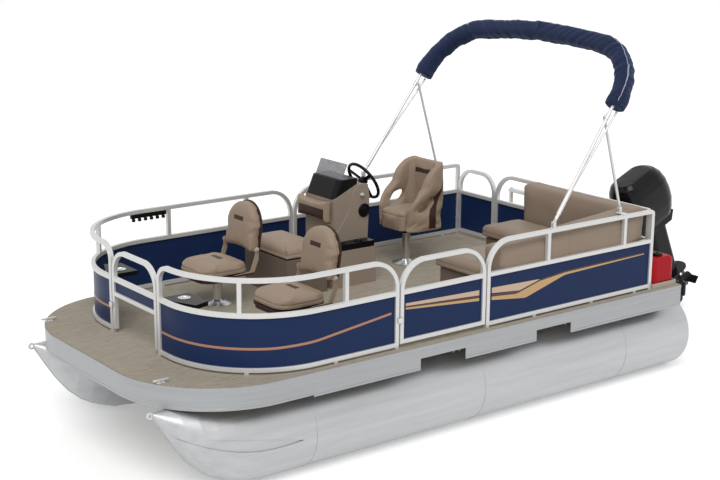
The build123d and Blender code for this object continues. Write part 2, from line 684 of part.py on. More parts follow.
# Bow seats: swivel plate and cushion turn together, the back folds down over them
SEAT_FRONT = 245.0
SEAT_DEPTH = 430.0
SEAT_WIDTH = 430.0
SEAT_THICK = 105.0
SEAT_CORNER_R = 110.0
SEAT_EDGE_R = 28.0
SHELL_INSET = 6.0
SHELL_DROP = 26.0
SHELL_NOSE = 150.0
BACK_THICK = 95.0
BACK_WIDTH = 410.0
BACK_HEIGHT = 390.0
BACK_LEAN = 8.0
BACK_SQUARE = 185.0
BACK_FOOT_R = 30.0
FOLD_BEHIND = 30.0
FOLD_UP = 54.0
BACK_BELOW_FOLD = 25.0
SOFT_GAP = 0.3
PLATE_TOP_Z = BOW_SEAT_Z + SWIVEL_THICK
FOLD_X = BOW_SEAT_X + SEAT_FRONT - SEAT_DEPTH - FOLD_BEHIND
FOLD_Z = PLATE_TOP_Z + SEAT_THICK + FOLD_UP
ARM_THICK = 6.0
ARM_CLEAR = 3.0
PIN_LENGTH = 84.0
PIN_R = 6.0
for side, name in ((1, "port"), (-1, "starboard")):
    seat_y = side * BOW_SEAT_Y
    cushion_x = BOW_SEAT_X + SEAT_FRONT - SEAT_DEPTH / 2
    arm_out = SEAT_WIDTH / 2 + ARM_CLEAR
    with BuildPart() as seat_base:
        with BuildSketch(Plane.XY.offset(BOW_SEAT_Z)):
            with Locations((cushion_x, seat_y)):
                RectangleRounded(SEAT_DEPTH - 2 * SHELL_INSET, SEAT_WIDTH - 2 * SHELL_INSET, SEAT_CORNER_R)
        extrude(amount=SWIVEL_THICK)
        with BuildSketch(Plane.XY.offset(BOW_SEAT_Z - SHELL_DROP)):
            with Locations((cushion_x, seat_y)):
                RectangleRounded(SEAT_DEPTH - 5 * SHELL_INSET, SEAT_WIDTH - 5 * SHELL_INSET, SEAT_CORNER_R)
            with Locations((cushion_x - SHELL_NOSE, seat_y)):
                Rectangle(SEAT_DEPTH, SEAT_WIDTH, mode=Mode.SUBTRACT)
        extrude(amount=SHELL_DROP)
        for arm in (-1, 1):
            arm_y = seat_y + arm * (arm_out + ARM_THICK / 2)
            add(
                across(
                    [
                        (FOLD_X - 16, FOLD_Z + 16),
                        (FOLD_X - 16, FOLD_Z - 60),
                        (FOLD_X + 30, PLATE_TOP_Z - 10),
                        (BOW_SEAT_X + 60, PLATE_TOP_Z - 10),
                        (BOW_SEAT_X + 60, PLATE_TOP_Z),
                        (FOLD_X + 60, PLATE_TOP_Z + 14),
                        (FOLD_X + 16, FOLD_Z - 30),
                        (FOLD_X + 16, FOLD_Z + 16),
                    ],
                    arm_y - ARM_THICK / 2,
                    arm_y + ARM_THICK / 2,
                )
            )
            y_ends = sorted((seat_y + arm * 80.0, arm_y - arm * ARM_THICK / 2))
            add(bar(BOW_SEAT_X - 50, BOW_SEAT_X + 50, y_ends[0], y_ends[1], PLATE_TOP_Z - 10, PLATE_TOP_Z))
            with Locations(Location((FOLD_X, arm_y - arm * PIN_LENGTH / 2, FOLD_Z), (90, 0, 0))):
                Cylinder(PIN_R, PIN_LENGTH)
    export(seat_base.part, f"bow_seat_base_{name}")

    with BuildPart() as seat_cushion:
        with BuildSketch(Plane.XY.offset(PLATE_TOP_Z + SOFT_GAP)):
            with Locations((cushion_x, seat_y)):
                RectangleRounded(SEAT_DEPTH, SEAT_WIDTH, SEAT_CORNER_R)
        extrude(amount=SEAT_THICK)
        fillet(seat_cushion.faces().sort_by(Axis.Z)[-1].edges(), SEAT_EDGE_R)
    export(seat_cushion.part, f"bow_seat_cushion_{name}")

    back_plane = Plane(origin=(FOLD_X, seat_y, FOLD_Z), x_dir=(0, 1, 0), z_dir=(1, 0, 0))
    back_plane = back_plane.rotated((0, -BACK_LEAN, 0))
    with BuildPart() as seat_back:
        with BuildSketch(back_plane.offset(-BACK_THICK / 2)) as egg:
            with BuildLine():
                Polyline(
                    (-BACK_WIDTH / 2, BACK_SQUARE),
                    (-BACK_WIDTH / 2, -BACK_BELOW_FOLD),
                    (BACK_WIDTH / 2, -BACK_BELOW_FOLD),
                    (BACK_WIDTH / 2, BACK_SQUARE),
                )
                ThreePointArc(
                    (BACK_WIDTH / 2, BACK_SQUARE),
                    (0, BACK_HEIGHT - BACK_BELOW_FOLD),
                    (-BACK_WIDTH / 2, BACK_SQUARE),
                )
            make_face()
            fillet(egg.vertices().sort_by(Axis.Z)[:2], BACK_FOOT_R)
        extrude(amount=BACK_THICK)
        fillet(seat_back.faces().sort_by(Axis.X)[-1].edges(), SEAT_EDGE_R)
        with Locations(Location((FOLD_X, seat_y, FOLD_Z), (90, 0, 0))):
            Cylinder(PIN_R + SOFT_GAP, BACK_WIDTH, mode=Mode.SUBTRACT)
    export(seat_back.part, f"bow_seat_back_{name}")


def box(x, y, z):
    """A plain block between pairs of faces along the three axes."""
    return bar(x[0], x[1], y[0], y[1], z[0], z[1])


def cross_pin(centre, radius, length):
    """A round pin along the boat's Y."""
    with BuildPart(mode=Mode.PRIVATE) as solid:
        with Locations(Location(centre, (90, 0, 0))):
            Cylinder(radius, length)
    return solid.part


# Helm chair: a swivel plate, a deep cushion and a bucket back that runs into the arms
HELM_DEPTH = 450.0
HELM_WIDTH = 480.0
HELM_CUSHION = 180.0
HELM_WALL = 75.0
HELM_TOP = 590.0
HELM_ARM_TOP = 225.0
HELM_EDGE_R = 30.0
HELM_SHIFT = -45.0
HELM_GAP = 3.0
helm_plate_top = HELM_SEAT_Z + SWIVEL_THICK
with BuildPart() as helm_base:
    with Locations((HELM_X, HELM_Y, HELM_SEAT_Z + SWIVEL_THICK / 2)):
        Box(220.0, 220.0, SWIVEL_THICK)
export(helm_base.part, "helm_seat_base")

helm_x = HELM_X + HELM_SHIFT
inner_width = HELM_WIDTH - 2 * HELM_WALL - 2 * HELM_GAP
inner_depth = HELM_DEPTH - HELM_WALL - HELM_GAP
with BuildPart() as helm_cushion:
    with BuildSketch(Plane.XY.offset(helm_plate_top + SOFT_GAP)):
        with Locations((helm_x + (HELM_DEPTH - inner_depth) / 2, HELM_Y)):
            RectangleRounded(inner_depth, inner_width, 60.0)
    extrude(amount=HELM_CUSHION)
    fillet(helm_cushion.faces().sort_by(Axis.Z)[-1].edges(), HELM_EDGE_R)
export(helm_cushion.part, "helm_seat_cushion")

with BuildPart() as helm_back:
    with BuildSketch(Plane.XY.offset(helm_plate_top + SOFT_GAP)):
        with Locations((helm_x, HELM_Y)):
            RectangleRounded(HELM_DEPTH, HELM_WIDTH, 130.0)
        with Locations((helm_x + HELM_WALL / 2 + 100.0, HELM_Y)):
            RectangleRounded(HELM_DEPTH - HELM_WALL + 200.0, HELM_WIDTH - 2 * HELM_WALL, 70.0, mode=Mode.SUBTRACT)
    extrude(amount=HELM_TOP)
    with BuildSketch(Plane(origin=(0, HELM_Y + HELM_WIDTH, 0), x_dir=(1, 0, 0), z_dir=(0, -1, 0))):
        with BuildLine():
            helm_front = helm_x + HELM_DEPTH / 2
            helm_rear = helm_x - HELM_DEPTH / 2
            Polyline(
                (helm_rear + 25, helm_plate_top + HELM_TOP),
                (helm_rear - 1, helm_plate_top + HELM_TOP - 60),
                (helm_rear - 1, helm_plate_top + 250),
                (helm_rear + 30, helm_plate_top + 120),
                (helm_rear + 60, helm_plate_top),
                (helm_front - 35, helm_plate_top),
                (helm_front + 1, helm_plate_top + 60),
                (helm_front + 1, helm_plate_top + HELM_ARM_TOP - 60),
            )
            ThreePointArc(
                (helm_front + 1, helm_plate_top + HELM_ARM_TOP - 60),
                (helm_front - 70, helm_plate_top + HELM_ARM_TOP + 40),
                (helm_front - 175, helm_plate_top + HELM_ARM_TOP + 160),
            )
            ThreePointArc(
                (helm_front - 175, helm_plate_top + HELM_ARM_TOP + 160),
                (helm_rear + 150, helm_plate_top + HELM_TOP - 45),
                (helm_rear + 25, helm_plate_top + HELM_TOP),
            )
        make_face()
    extrude(amount=2 * HELM_WIDTH, mode=Mode.INTERSECT)
    with BuildSketch(Plane(origin=(0, HELM_Y + HELM_WIDTH, 0), x_dir=(1, 0, 0), z_dir=(0, -1, 0))):
        with BuildLine():
            ThreePointArc(
                (helm_front - 120, helm_plate_top + HELM_CUSHION + 10),
                (helm_front - 200, helm_plate_top + HELM_CUSHION + 95),
                (helm_front - 300, helm_plate_top + HELM_CUSHION + 105),
            )
            ThreePointArc(
                (helm_front - 300, helm_plate_top + HELM_CUSHION + 105),
                (helm_front - 245, helm_plate_top + HELM_CUSHION + 30),
                (helm_front - 120, helm_plate_top + HELM_CUSHION + 10),
            )
        make_face()
    extrude(amount=2 * HELM_WIDTH, mode=Mode.SUBTRACT)
export(helm_back.part, "helm_seat_back")

# Console: lower box, sloped upper body, dash hood, windscreen, cup tray
CONSOLE_LENGTH = 420.0
CONSOLE_FRONT_X = station(0.4931)
CONSOLE_REAR_X = CONSOLE_FRONT_X - CONSOLE_LENGTH
CONSOLE_Y = (-(BEAM / 2 - 420.0), -(BEAM / 2 - 930.0))
UPPER_Y = (CONSOLE_Y[0], -(BEAM / 2 - 820.0))
SHELF_Z = DECK_TOP_Z + 295.0
UPPER_FRONT_X = CONSOLE_FRONT_X - 90.0
UPPER_REAR_X = CONSOLE_REAR_X - 20.0
DASH_FRONT_Z = DECK_TOP_Z + 686.0
DASH_PEAK_Z = DECK_TOP_Z + 790.0
console_lower = box((CONSOLE_REAR_X, CONSOLE_FRONT_X), CONSOLE_Y, (DECK_TOP_Z, SHELF_Z))
# Sides of the upper body: swept front edge, lower dash between them under the hood
CHEEK = 32.0
CHEEK_OUTLINE = (
    (UPPER_FRONT_X, SHELF_Z - 20),
    (UPPER_FRONT_X - 18, SHELF_Z + 104),
    (UPPER_FRONT_X - 50, SHELF_Z + 150),
    (UPPER_FRONT_X - 90, SHELF_Z + 199),
    (UPPER_FRONT_X - 140, SHELF_Z + 274),
    (UPPER_FRONT_X - 165, SHELF_Z + 350),
    (UPPER_FRONT_X - 178, SHELF_Z + 415),
    (UPPER_FRONT_X - 200, SHELF_Z + 448),
    (UPPER_FRONT_X - 250, DASH_PEAK_Z),
    (UPPER_REAR_X + 20, DASH_PEAK_Z - 10),
    (UPPER_REAR_X, DASH_PEAK_Z - 110),
    (UPPER_REAR_X + 20, SHELF_Z),
    (UPPER_REAR_X + 20, SHELF_Z - 20),
)
console_upper = joined(
    across(
        [
            (UPPER_FRONT_X, SHELF_Z - 20),
            (UPPER_FRONT_X, DASH_FRONT_Z),
            (UPPER_FRONT_X - 230, DASH_PEAK_Z),
            (UPPER_REAR_X + 40, DASH_PEAK_Z - 10),
            (UPPER_REAR_X, DASH_PEAK_Z - 110),
            (UPPER_REAR_X + 20, SHELF_Z),
            (UPPER_REAR_X + 20, SHELF_Z - 20),
        ],
        UPPER_Y[0] + CHEEK / 4,
        UPPER_Y[1] - CHEEK / 4,
    ),
    across(CHEEK_OUTLINE, UPPER_Y[0], UPPER_Y[0] + CHEEK),
    across(CHEEK_OUTLINE, UPPER_Y[1] - CHEEK, UPPER_Y[1]),
)
WHEEL_TILT = 30.0
WHEEL_X = UPPER_REAR_X - 60.0
WHEEL_Y = -(BEAM / 2 - 660.0)
WHEEL_Z = DECK_TOP_Z + 770.0
BEZEL_OUT = 70.0
BEZEL_R = 48.0
wheel_plane = Plane(
    origin=(WHEEL_X, WHEEL_Y, WHEEL_Z),
    x_dir=(0, 1, 0),
    z_dir=(-cos(radians(WHEEL_TILT)), 0, sin(radians(WHEEL_TILT))),
)
with BuildPart() as helm_bezel:
    with BuildSketch(wheel_plane.offset(-BEZEL_OUT)):
        Circle(BEZEL_R)
    extrude(amount=-50.0)
export(joined(console_lower, console_upper, helm_bezel.part), "console")

HOOD_INSET = 12.0
HOOD_CORNER_R = 36.0
HOOD_TOP_Z = DASH_FRONT_Z + 150.0
with BuildPart() as dash_hood:
    add(
        across(
            [
                (UPPER_FRONT_X + 6, DASH_FRONT_Z + 8),
                (UPPER_FRONT_X - 56, HOOD_TOP_Z),
                (UPPER_FRONT_X - 236, HOOD_TOP_Z),
                (UPPER_FRONT_X - 230, DASH_PEAK_Z),
                (UPPER_FRONT_X, DASH_FRONT_Z),
            ],
            UPPER_Y[0] + HOOD_INSET,
            UPPER_Y[1] - HOOD_INSET,
        )
    )
    slanted = dash_hood.edges().filter_by(Axis.Y, reverse=True)
    middle_z = (DASH_FRONT_Z + HOOD_TOP_Z) / 2
    corner_edges = [e for e in slanted if e.center().X > UPPER_FRONT_X - 56 and abs(e.center().Z - middle_z) < HOOD_CORNER_R]
    fillet(corner_edges, HOOD_CORNER_R)
export(dash_hood.part, "dash_hood")

SCREEN_THICK = 5.0
SCREEN_RISE = 119.0
SCREEN_RAKE = 52.0
SCREEN_FOOT_X = UPPER_FRONT_X - 89.0
windscreen = across(
    [
        (SCREEN_FOOT_X, HOOD_TOP_Z),
        (SCREEN_FOOT_X - SCREEN_RAKE, HOOD_TOP_Z + SCREEN_RISE),
        (SCREEN_FOOT_X - SCREEN_RAKE - SCREEN_THICK, HOOD_TOP_Z + SCREEN_RISE),
        (SCREEN_FOOT_X - SCREEN_THICK, HOOD_TOP_Z),
    ],
    UPPER_Y[0] + 2 * HOOD_INSET,
    UPPER_Y[1] - 2 * HOOD_INSET,
)
export(windscreen, "windscreen")

CUP_R = 38.0
CUP_DEEP = 40.0
TRAY_HEIGHT = 48.0
tray_y = (UPPER_Y[1], CONSOLE_Y[1] - 5.0)
CUP_X = (CONSOLE_FRONT_X - 110.0, CONSOLE_FRONT_X - 290.0)
with BuildPart() as cup_tray:
    add(box((CONSOLE_REAR_X + 10, CONSOLE_FRONT_X - 30), tray_y, (SHELF_Z, SHELF_Z + TRAY_HEIGHT)))
    for cup_x in CUP_X:
        with Locations((cup_x, sum(tray_y) / 2, SHELF_Z + TRAY_HEIGHT - CUP_DEEP / 2)):
            Cylinder(CUP_R, CUP_DEEP, mode=Mode.SUBTRACT)
export(cup_tray.part, "cup_tray")

# Back pad of the bench before the console, and the bench itself: box and hinged lid
BENCH_DEPTH = 420.0
BENCH_Y = (-(BEAM / 2 - 350.0), -(BEAM / 2 - 940.0))
BENCH_BOX_TOP = 300.0
LID_THICK = 95.0
PAD_THICK = 70.0
PAD_GAP = 0.3
PAD_EDGE_R = 26.0
with BuildPart() as bench_back_pad:
    add(
        box(
            (UPPER_FRONT_X + PAD_GAP, UPPER_FRONT_X + PAD_GAP + PAD_THICK),
            (UPPER_Y[0] - 40, UPPER_Y[1] - 20),
            (DECK_TOP_Z + 500.0, DECK_TOP_Z + 680.0),
        )
    )
    fillet(bench_back_pad.faces().sort_by(Axis.X)[-1].edges(), PAD_EDGE_R)
export(bench_back_pad.part, "bench_back_pad")

BENCH_X = (CONSOLE_FRONT_X + 65.0, CONSOLE_FRONT_X + 25.0 + BENCH_DEPTH)
BENCH_WALL = 12.0
# Hinge barrels along the bench's rear edge: places across it, with a knuckle beside each
LID_HINGES = (0.2, 0.8)
BARREL_R = 5.0
BARREL_GAP = 1.0
BARREL_LENGTH = 70.0
KNUCKLE_LENGTH = 20.0
KNUCKLE_CLEAR = 0.3
LID_HINGE_X = BENCH_X[0] - BARREL_R - BARREL_GAP
bench_lid_z = DECK_TOP_Z + BENCH_BOX_TOP + SOFT_GAP
with BuildPart() as bench_box:
    add(box(BENCH_X, BENCH_Y, (DECK_TOP_Z, DECK_TOP_Z + BENCH_BOX_TOP)))
    add(
        box(
            (BENCH_X[0] + BENCH_WALL, BENCH_X[1] - BENCH_WALL),
            (BENCH_Y[0] + BENCH_WALL, BENCH_Y[1] - BENCH_WALL),
            (DECK_TOP_Z + BENCH_WALL, DECK_TOP_Z + BENCH_BOX_TOP),
        ),
        mode=Mode.SUBTRACT,
    )
    for share in LID_HINGES:
        knuckle_y = BENCH_Y[0] + share * (BENCH_Y[1] - BENCH_Y[0]) + BARREL_LENGTH / 2 + KNUCKLE_CLEAR
        knuckle_mid = knuckle_y + KNUCKLE_LENGTH / 2
        add(cross_pin((LID_HINGE_X, knuckle_mid, bench_lid_z), BARREL_R, KNUCKLE_LENGTH))
        add(
            box(
                (LID_HINGE_X, BENCH_X[0] + 2.0),
                (knuckle_y, knuckle_y + KNUCKLE_LENGTH),
                (bench_lid_z - BARREL_R, bench_lid_z - SOFT_GAP),
            )
        )
export(bench_box.part, "bench_box")
LID_EDGE_R = 32.0
with BuildPart() as bench_lid:
    lid_y = (BENCH_Y[0] - 10, BENCH_Y[1] + 10)
    add(box((BENCH_X[0], BENCH_X[1] + 15), lid_y, (bench_lid_z, bench_lid_z + LID_THICK)))
    fillet(bench_lid.faces().sort_by(Axis.Z)[-1].edges(), LID_EDGE_R)
    for share in LID_HINGES:
        barrel_y = BENCH_Y[0] + share * (BENCH_Y[1] - BENCH_Y[0])
        add(cross_pin((LID_HINGE_X, barrel_y, bench_lid_z), BARREL_R, BARREL_LENGTH))
        add(
            box(
                (LID_HINGE_X, BENCH_X[0] + 2.0),
                (barrel_y - BARREL_LENGTH / 2, barrel_y + BARREL_LENGTH / 2),
                (bench_lid_z, bench_lid_z + BARREL_R),
            )
        )
export(bench_lid.part, "bench_lid")

# Steering wheel on its column, square to the sloped helm face
WHEEL_R = 165.0
WHEEL_GRIP = 13.0
COLUMN_CLEAR = 0.3
with BuildPart() as steering_wheel:
    with BuildSketch(Plane(origin=wheel_plane.origin, x_dir=wheel_plane.x_dir, z_dir=wheel_plane.y_dir)):
        with Locations((WHEEL_R, 0)):
            Circle(WHEEL_GRIP)
    revolve(axis=Axis(wheel_plane.origin, wheel_plane.z_dir))
    for angle in (90, 210, 330):
        with BuildSketch(wheel_plane.offset(-5)):
            with Locations(Location((0, 0, 0), (0, 0, angle))):
                with Locations((WHEEL_R / 2, 0)):
                    Rectangle(WHEEL_R, 30.0)
        extrude(amount=10.0)
    with BuildSketch(wheel_plane.offset(-30)):
        Circle(34.0)
    extrude(amount=45.0)
    with BuildSketch(wheel_plane.offset(-BEZEL_OUT + COLUMN_CLEAR)):
        Circle(14.0)
    extrude(amount=BEZEL_OUT)
export(steering_wheel.part, "steering_wheel")

# Lounge to port and across the stern: box base, cushions, padded backs
LOUNGE_FRONT_X = station(0.5876)
LOUNGE_REAR_X = FENCE_STERN_X + RAIL / 2 + 8.0
LOUNGE_OUT_Y = FENCE_Y - RAIL / 2 - 8.0
LOUNGE_IN_Y = BEAM / 2 - 820.0
LOUNGE_STARBOARD_Y = -100.0
LOUNGE_SEAT_X = LOUNGE_REAR_X + 650.0
BASE_HEIGHT = 270.0
BASE_INSET = 40.0
LOUNGE_CUSHION = 110.0
BACK_PAD = 200.0
PORT_BACK_TOP = 625.0
STERN_BACK_TOP = 700.0
base_z = (DECK_TOP_Z, DECK_TOP_Z + BASE_HEIGHT)
lounge_base = joined(
    box((LOUNGE_REAR_X, LOUNGE_FRONT_X - BASE_INSET), (LOUNGE_IN_Y + BASE_INSET, LOUNGE_OUT_Y), base_z),
    box((LOUNGE_REAR_X, LOUNGE_SEAT_X - BASE_INSET), (LOUNGE_STARBOARD_Y + BASE_INSET, LOUNGE_OUT_Y), base_z),
)
export(lounge_base, "lounge_base")
cushion_z = (DECK_TOP_Z + BASE_HEIGHT + SOFT_GAP, DECK_TOP_Z + BASE_HEIGHT + SOFT_GAP + LOUNGE_CUSHION)
back_z = (DECK_TOP_Z + BASE_HEIGHT + SOFT_GAP, DECK_TOP_Z + PORT_BACK_TOP)
CUSHION_OUT_Y = LOUNGE_OUT_Y - BACK_PAD - SOFT_GAP
CUSHION_EDGE_R = 30.0
BACK_EDGE_R = 45.0


def padded(x, y, z, radius):
    """A soft block with its upper edges rounded over."""
    with BuildPart(mode=Mode.PRIVATE) as pad:
        add(box(x, y, z))
        fillet(pad.faces().sort_by(Axis.Z)[-1].edges(), radius)
    return pad.part


with BuildPart() as lounge_cushions:
    add(padded((LOUNGE_SEAT_X + SOFT_GAP, LOUNGE_FRONT_X), (LOUNGE_IN_Y, CUSHION_OUT_Y), cushion_z, CUSHION_EDGE_R))
    add(
        padded(
            (LOUNGE_REAR_X + BACK_PAD + SOFT_GAP, LOUNGE_SEAT_X),
            (LOUNGE_STARBOARD_Y, CUSHION_OUT_Y),
            cushion_z,
            CUSHION_EDGE_R,
        )
    )
export(lounge_cushions.part, "lounge_cushions")
with BuildPart() as lounge_backs:
    add(
        padded(
            (LOUNGE_REAR_X + BACK_PAD + SOFT_GAP, LOUNGE_FRONT_X),
            (LOUNGE_OUT_Y - BACK_PAD, LOUNGE_OUT_Y),
            back_z,
            BACK_EDGE_R,
        )
    )
    add(
        padded(
            (LOUNGE_REAR_X, LOUNGE_REAR_X + BACK_PAD),
            (LOUNGE_STARBOARD_Y, LOUNGE_OUT_Y),
            (back_z[0], DECK_TOP_Z + STERN_BACK_TOP),
            BACK_EDGE_R,
        )
    )
export(lounge_backs.part, "lounge_backs")

# Small fittings: drink trays in the bow corners, rod rack, fuel tray and tank
TRAY_Z = MID_Z - RAIL / 2
TRAY_THICK = 30.0
tray_x = (FENCE_BOW_X - RAIL / 2 - 200.0, FENCE_BOW_X - RAIL / 2 - SOFT_GAP)
RACK_FRONT_X = station(0.2137)
RACK_LENGTH = 305.0
with BuildPart() as rail_trays:
    for side in (1, -1):
        with BuildSketch(Plane.XY.offset(TRAY_Z)):
            with BuildLine():
                Polyline(
                    (tray_x[1], side * (GATE_POST_Y + RAIL / 2)),
                    (tray_x[1], side * (FENCE_Y - FENCE_CORNER_R)),
                    (tray_x[1] - 80, side * (FENCE_Y - FENCE_CORNER_R + 190)),
                    (tray_x[0], side * (FENCE_Y - FENCE_CORNER_R + 150)),
                    (tray_x[0], side * (GATE_POST_Y + RAIL / 2)),
                    close=True,
                )
            make_face()
            with Locations((tray_x[0] + 90.0, side * (GATE_POST_Y + 110.0))):
                Circle(CUP_R, mode=Mode.SUBTRACT)
        extrude(amount=TRAY_THICK)
    add(
        box(
            (RACK_FRONT_X - RACK_LENGTH, RACK_FRONT_X),
            (-FENCE_Y + RAIL / 2 - 26.0, -FENCE_Y + RAIL / 2),
            (TOP_Z - RAIL / 2 - 34.0, TOP_Z - RAIL / 2),
        )
    )
export(rail_trays.part, "rail_trays")

FUEL_X = (DECK_REAR_X + 35.0, DECK_REAR_X + 310.0)
FUEL_Y = (BEAM / 2 - 470.0, BEAM / 2 - 30.0)
FUEL_WALL = 4.0
FUEL_LIP = 42.0
with BuildPart() as fuel_tray:
    add(box(FUEL_X, FUEL_Y, (DECK_TOP_Z, DECK_TOP_Z + FUEL_LIP)))
    add(
        box(
            (FUEL_X[0] + FUEL_WALL, FUEL_X[1] - FUEL_WALL),
            (FUEL_Y[0] + FUEL_WALL, FUEL_Y[1] - FUEL_WALL),
            (DECK_TOP_Z + FUEL_WALL, DECK_TOP_Z + FUEL_LIP),
        ),
        mode=Mode.SUBTRACT,
    )
export(fuel_tray.part, "fuel_tray")

TANK_HEIGHT = 235.0
TANK_GAP = 14.0
with BuildPart() as fuel_tank:
    with BuildSketch(Plane.XY.offset(DECK_TOP_Z + FUEL_WALL)):
        with Locations((sum(FUEL_X) / 2, sum(FUEL_Y) / 2)):
            RectangleRounded(
                FUEL_X[1] - FUEL_X[0] - 2 * TANK_GAP,
                FUEL_Y[1] - FUEL_Y[0] - 2 * TANK_GAP,
                45.0,
            )
    extrude(amount=TANK_HEIGHT)
    chamfer(fuel_tank.faces().sort_by(Axis.Z)[-1].edges(), 25.0)
    with Locations((sum(FUEL_X) / 2, FUEL_Y[1] - 90.0, DECK_TOP_Z + FUEL_WALL + TANK_HEIGHT + 12.0)):
        Cylinder(32.0, 24.0)
export(fuel_tank.part, "fuel_tank")

CAP_R = 42.0
CAP_HEIGHT = 120.0
CAP_EDGE_R = 15.0
with BuildPart() as corner_caps:
    for side in (1, -1):
        with Locations((DECK_REAR_X - CAP_R, side * (BEAM / 2 - CAP_R), SKIRT_TOP_Z + 14.0 - CAP_HEIGHT / 2)):
            Cylinder(CAP_R, CAP_HEIGHT)
    cap_ends = corner_caps.faces().filter_by(Axis.Z)
    fillet([edge for face in cap_ends for edge in face.edges()], CAP_EDGE_R)
export(corner_caps.part, "corner_caps")

# Mooring cleats on the deck: x, y of each; and a cast tow eye on the tip of each nose
CLEATS = (
    (DECK_FRONT_X - 122.0, BEAM / 2 - 401.0),
    (DECK_FRONT_X - 122.0, -(BEAM / 2 - 401.0)),
    (DECK_REAR_X + 110.0, -(BEAM / 2 - 100.0)),
    (DECK_REAR_X + 110.0, BEAM / 2 - 600.0),
)
CLEAT_LENGTH = 110.0
TOW_EYE_HOLE_R = 13.0
TOW_EYE_THICK = 14.0


def tow_eye(side):
    """One tow eye: a flat eye with a round hole across the boat, let over the nose's tip."""
    with BuildPart(mode=Mode.PRIVATE) as eye:
        with BuildSketch(Plane.XZ.offset(-side * TUBE_Y)):
            with Locations((TOW_EYE_X, TOW_EYE_Z)):
                Circle(TOW_EYE_R)
                Circle(TOW_EYE_HOLE_R, mode=Mode.SUBTRACT)
        extrude(amount=TOW_EYE_THICK / 2, both=True)
        add(nose(side, 0.0), mode=Mode.SUBTRACT)
        add(stem(side), mode=Mode.SUBTRACT)
    return eye.part


with BuildPart() as mooring_cleats:
    for cleat_x, cleat_y in CLEATS:
        with Locations((cleat_x, cleat_y, DECK_TOP_Z + 3)):
            Box(60.0, 26.0, 6.0)
        with Locations((cleat_x - 15, cleat_y, DECK_TOP_Z + 12), (cleat_x + 15, cleat_y, DECK_TOP_Z + 12)):
            Box(8.0, 12.0, 14.0)
        with Locations((cleat_x, cleat_y, DECK_TOP_Z + 23)):
            Box(CLEAT_LENGTH, 14.0, 9.0)
    for side in (1, -1):
        add(tow_eye(side))
export(mooring_cleats.part, "mooring_cleats")

# Boarding ladder: folded up behind the stern gate on two brackets off the deck's end
LADDER_Y = (STERN_GATE_STARBOARD_Y + STERN_GATE_PORT_Y) / 2
LADDER_WIDTH = 300.0
LADDER_TUBE = 25.0
LADDER_LENGTH = 440.0
LADDER_PIVOT_X = TUBE_REAR_X - 45.0
LADDER_PIVOT_Z = DECK_TOP_Z - 60.0
LUG_THICK = 6.0
LUG_GAP = 0.5
LADDER_PIN_R = 6.0
LADDER_PIN_CLEAR = 0.3
LADDER_PIN_IN = 18.0
lugs = []
for side in (1, -1):
    lug_y = LADDER_Y + side * (LADDER_WIDTH / 2 + LUG_GAP + LUG_THICK / 2)
    lugs.append(
        box(
            (LADDER_PIVOT_X - 20, DECK_REAR_X),
            (lug_y - LUG_THICK / 2, lug_y + LUG_THICK / 2),
            (LADDER_PIVOT_Z - 20, LADDER_PIVOT_Z + 20),
        )
    )
with BuildPart() as ladder_bracket:
    for lug in lugs:
        add(lug)
    for side in (1, -1):
        pin_y = LADDER_Y + side * (LADDER_WIDTH / 2 + LUG_GAP + LUG_THICK - (LADDER_PIN_IN + LUG_THICK) / 2)
        add(cross_pin((LADDER_PIVOT_X, pin_y, LADDER_PIVOT_Z), LADDER_PIN_R, LADDER_PIN_IN + LUG_THICK))
    add(
        box(
            (DECK_REAR_X - 6.0, DECK_REAR_X),
            (LADDER_Y - LADDER_WIDTH / 2 - LUG_GAP - LUG_THICK, LADDER_Y + LADDER_WIDTH / 2 + LUG_GAP + LUG_THICK),
            (LADDER_PIVOT_Z - 45, LADDER_PIVOT_Z + 45),
        )
    )
export(ladder_bracket.part, "ladder_bracket")
with BuildPart() as ladder:
    for side in (1, -1):
        add(
            box(
                (LADDER_PIVOT_X - LADDER_TUBE / 2, LADDER_PIVOT_X + LADDER_TUBE / 2),
                sorted((LADDER_Y + side * (LADDER_WIDTH / 2 - LADDER_TUBE), LADDER_Y + side * LADDER_WIDTH / 2)),
                (LADDER_PIVOT_Z - LADDER_TUBE / 2, LADDER_PIVOT_Z + LADDER_LENGTH),
            )
        )
    for step in (0.28, 0.62, 0.96):
        add(
            box(
                (LADDER_PIVOT_X - LADDER_TUBE / 2, LADDER_PIVOT_X + LADDER_TUBE / 2 + 35),
                (LADDER_Y - LADDER_WIDTH / 2 + LADDER_TUBE, LADDER_Y + LADDER_WIDTH / 2 - LADDER_TUBE),
                (LADDER_PIVOT_Z + step * LADDER_LENGTH - 12, LADDER_PIVOT_Z + step * LADDER_LENGTH + 12),
            )
        )
    for side in (1, -1):
        hole_y = LADDER_Y + side * LADDER_WIDTH / 2
        hole = cross_pin((LADDER_PIVOT_X, hole_y, LADDER_PIVOT_Z), LADDER_PIN_R + LADDER_PIN_CLEAR, 2 * LADDER_PIN_IN)
        add(hole, mode=Mode.SUBTRACT)
export(ladder.part, "boarding_ladder")

# Motor pod between the tubes, and the transom board at its end
TRANSOM_X = DECK_REAR_X - POD_LENGTH_AFT
motor_pod = across(
    [
        (DECK_REAR_X + POD_LENGTH_FORWARD, POD_TOP_Z),
        (TRANSOM_X + TRANSOM_THICK, POD_TOP_Z),
        (TRANSOM_X + TRANSOM_THICK, POD_KEEL_Z),
        (TRANSOM_X + POD_KEEL_LENGTH, POD_KEEL_Z),
        (DECK_REAR_X + POD_LENGTH_FORWARD, POD_FRONT_Z),
    ],
    -POD_WIDTH / 2,
    POD_WIDTH / 2,
)
export(motor_pod, "motor_pod")
transom_y = (-TRANSOM_WIDTH / 2, TRANSOM_WIDTH / 2)
transom = box((TRANSOM_X, TRANSOM_X + TRANSOM_THICK), transom_y, (POD_KEEL_Z, TRANSOM_TOP_Z))
export(transom, "transom_board")

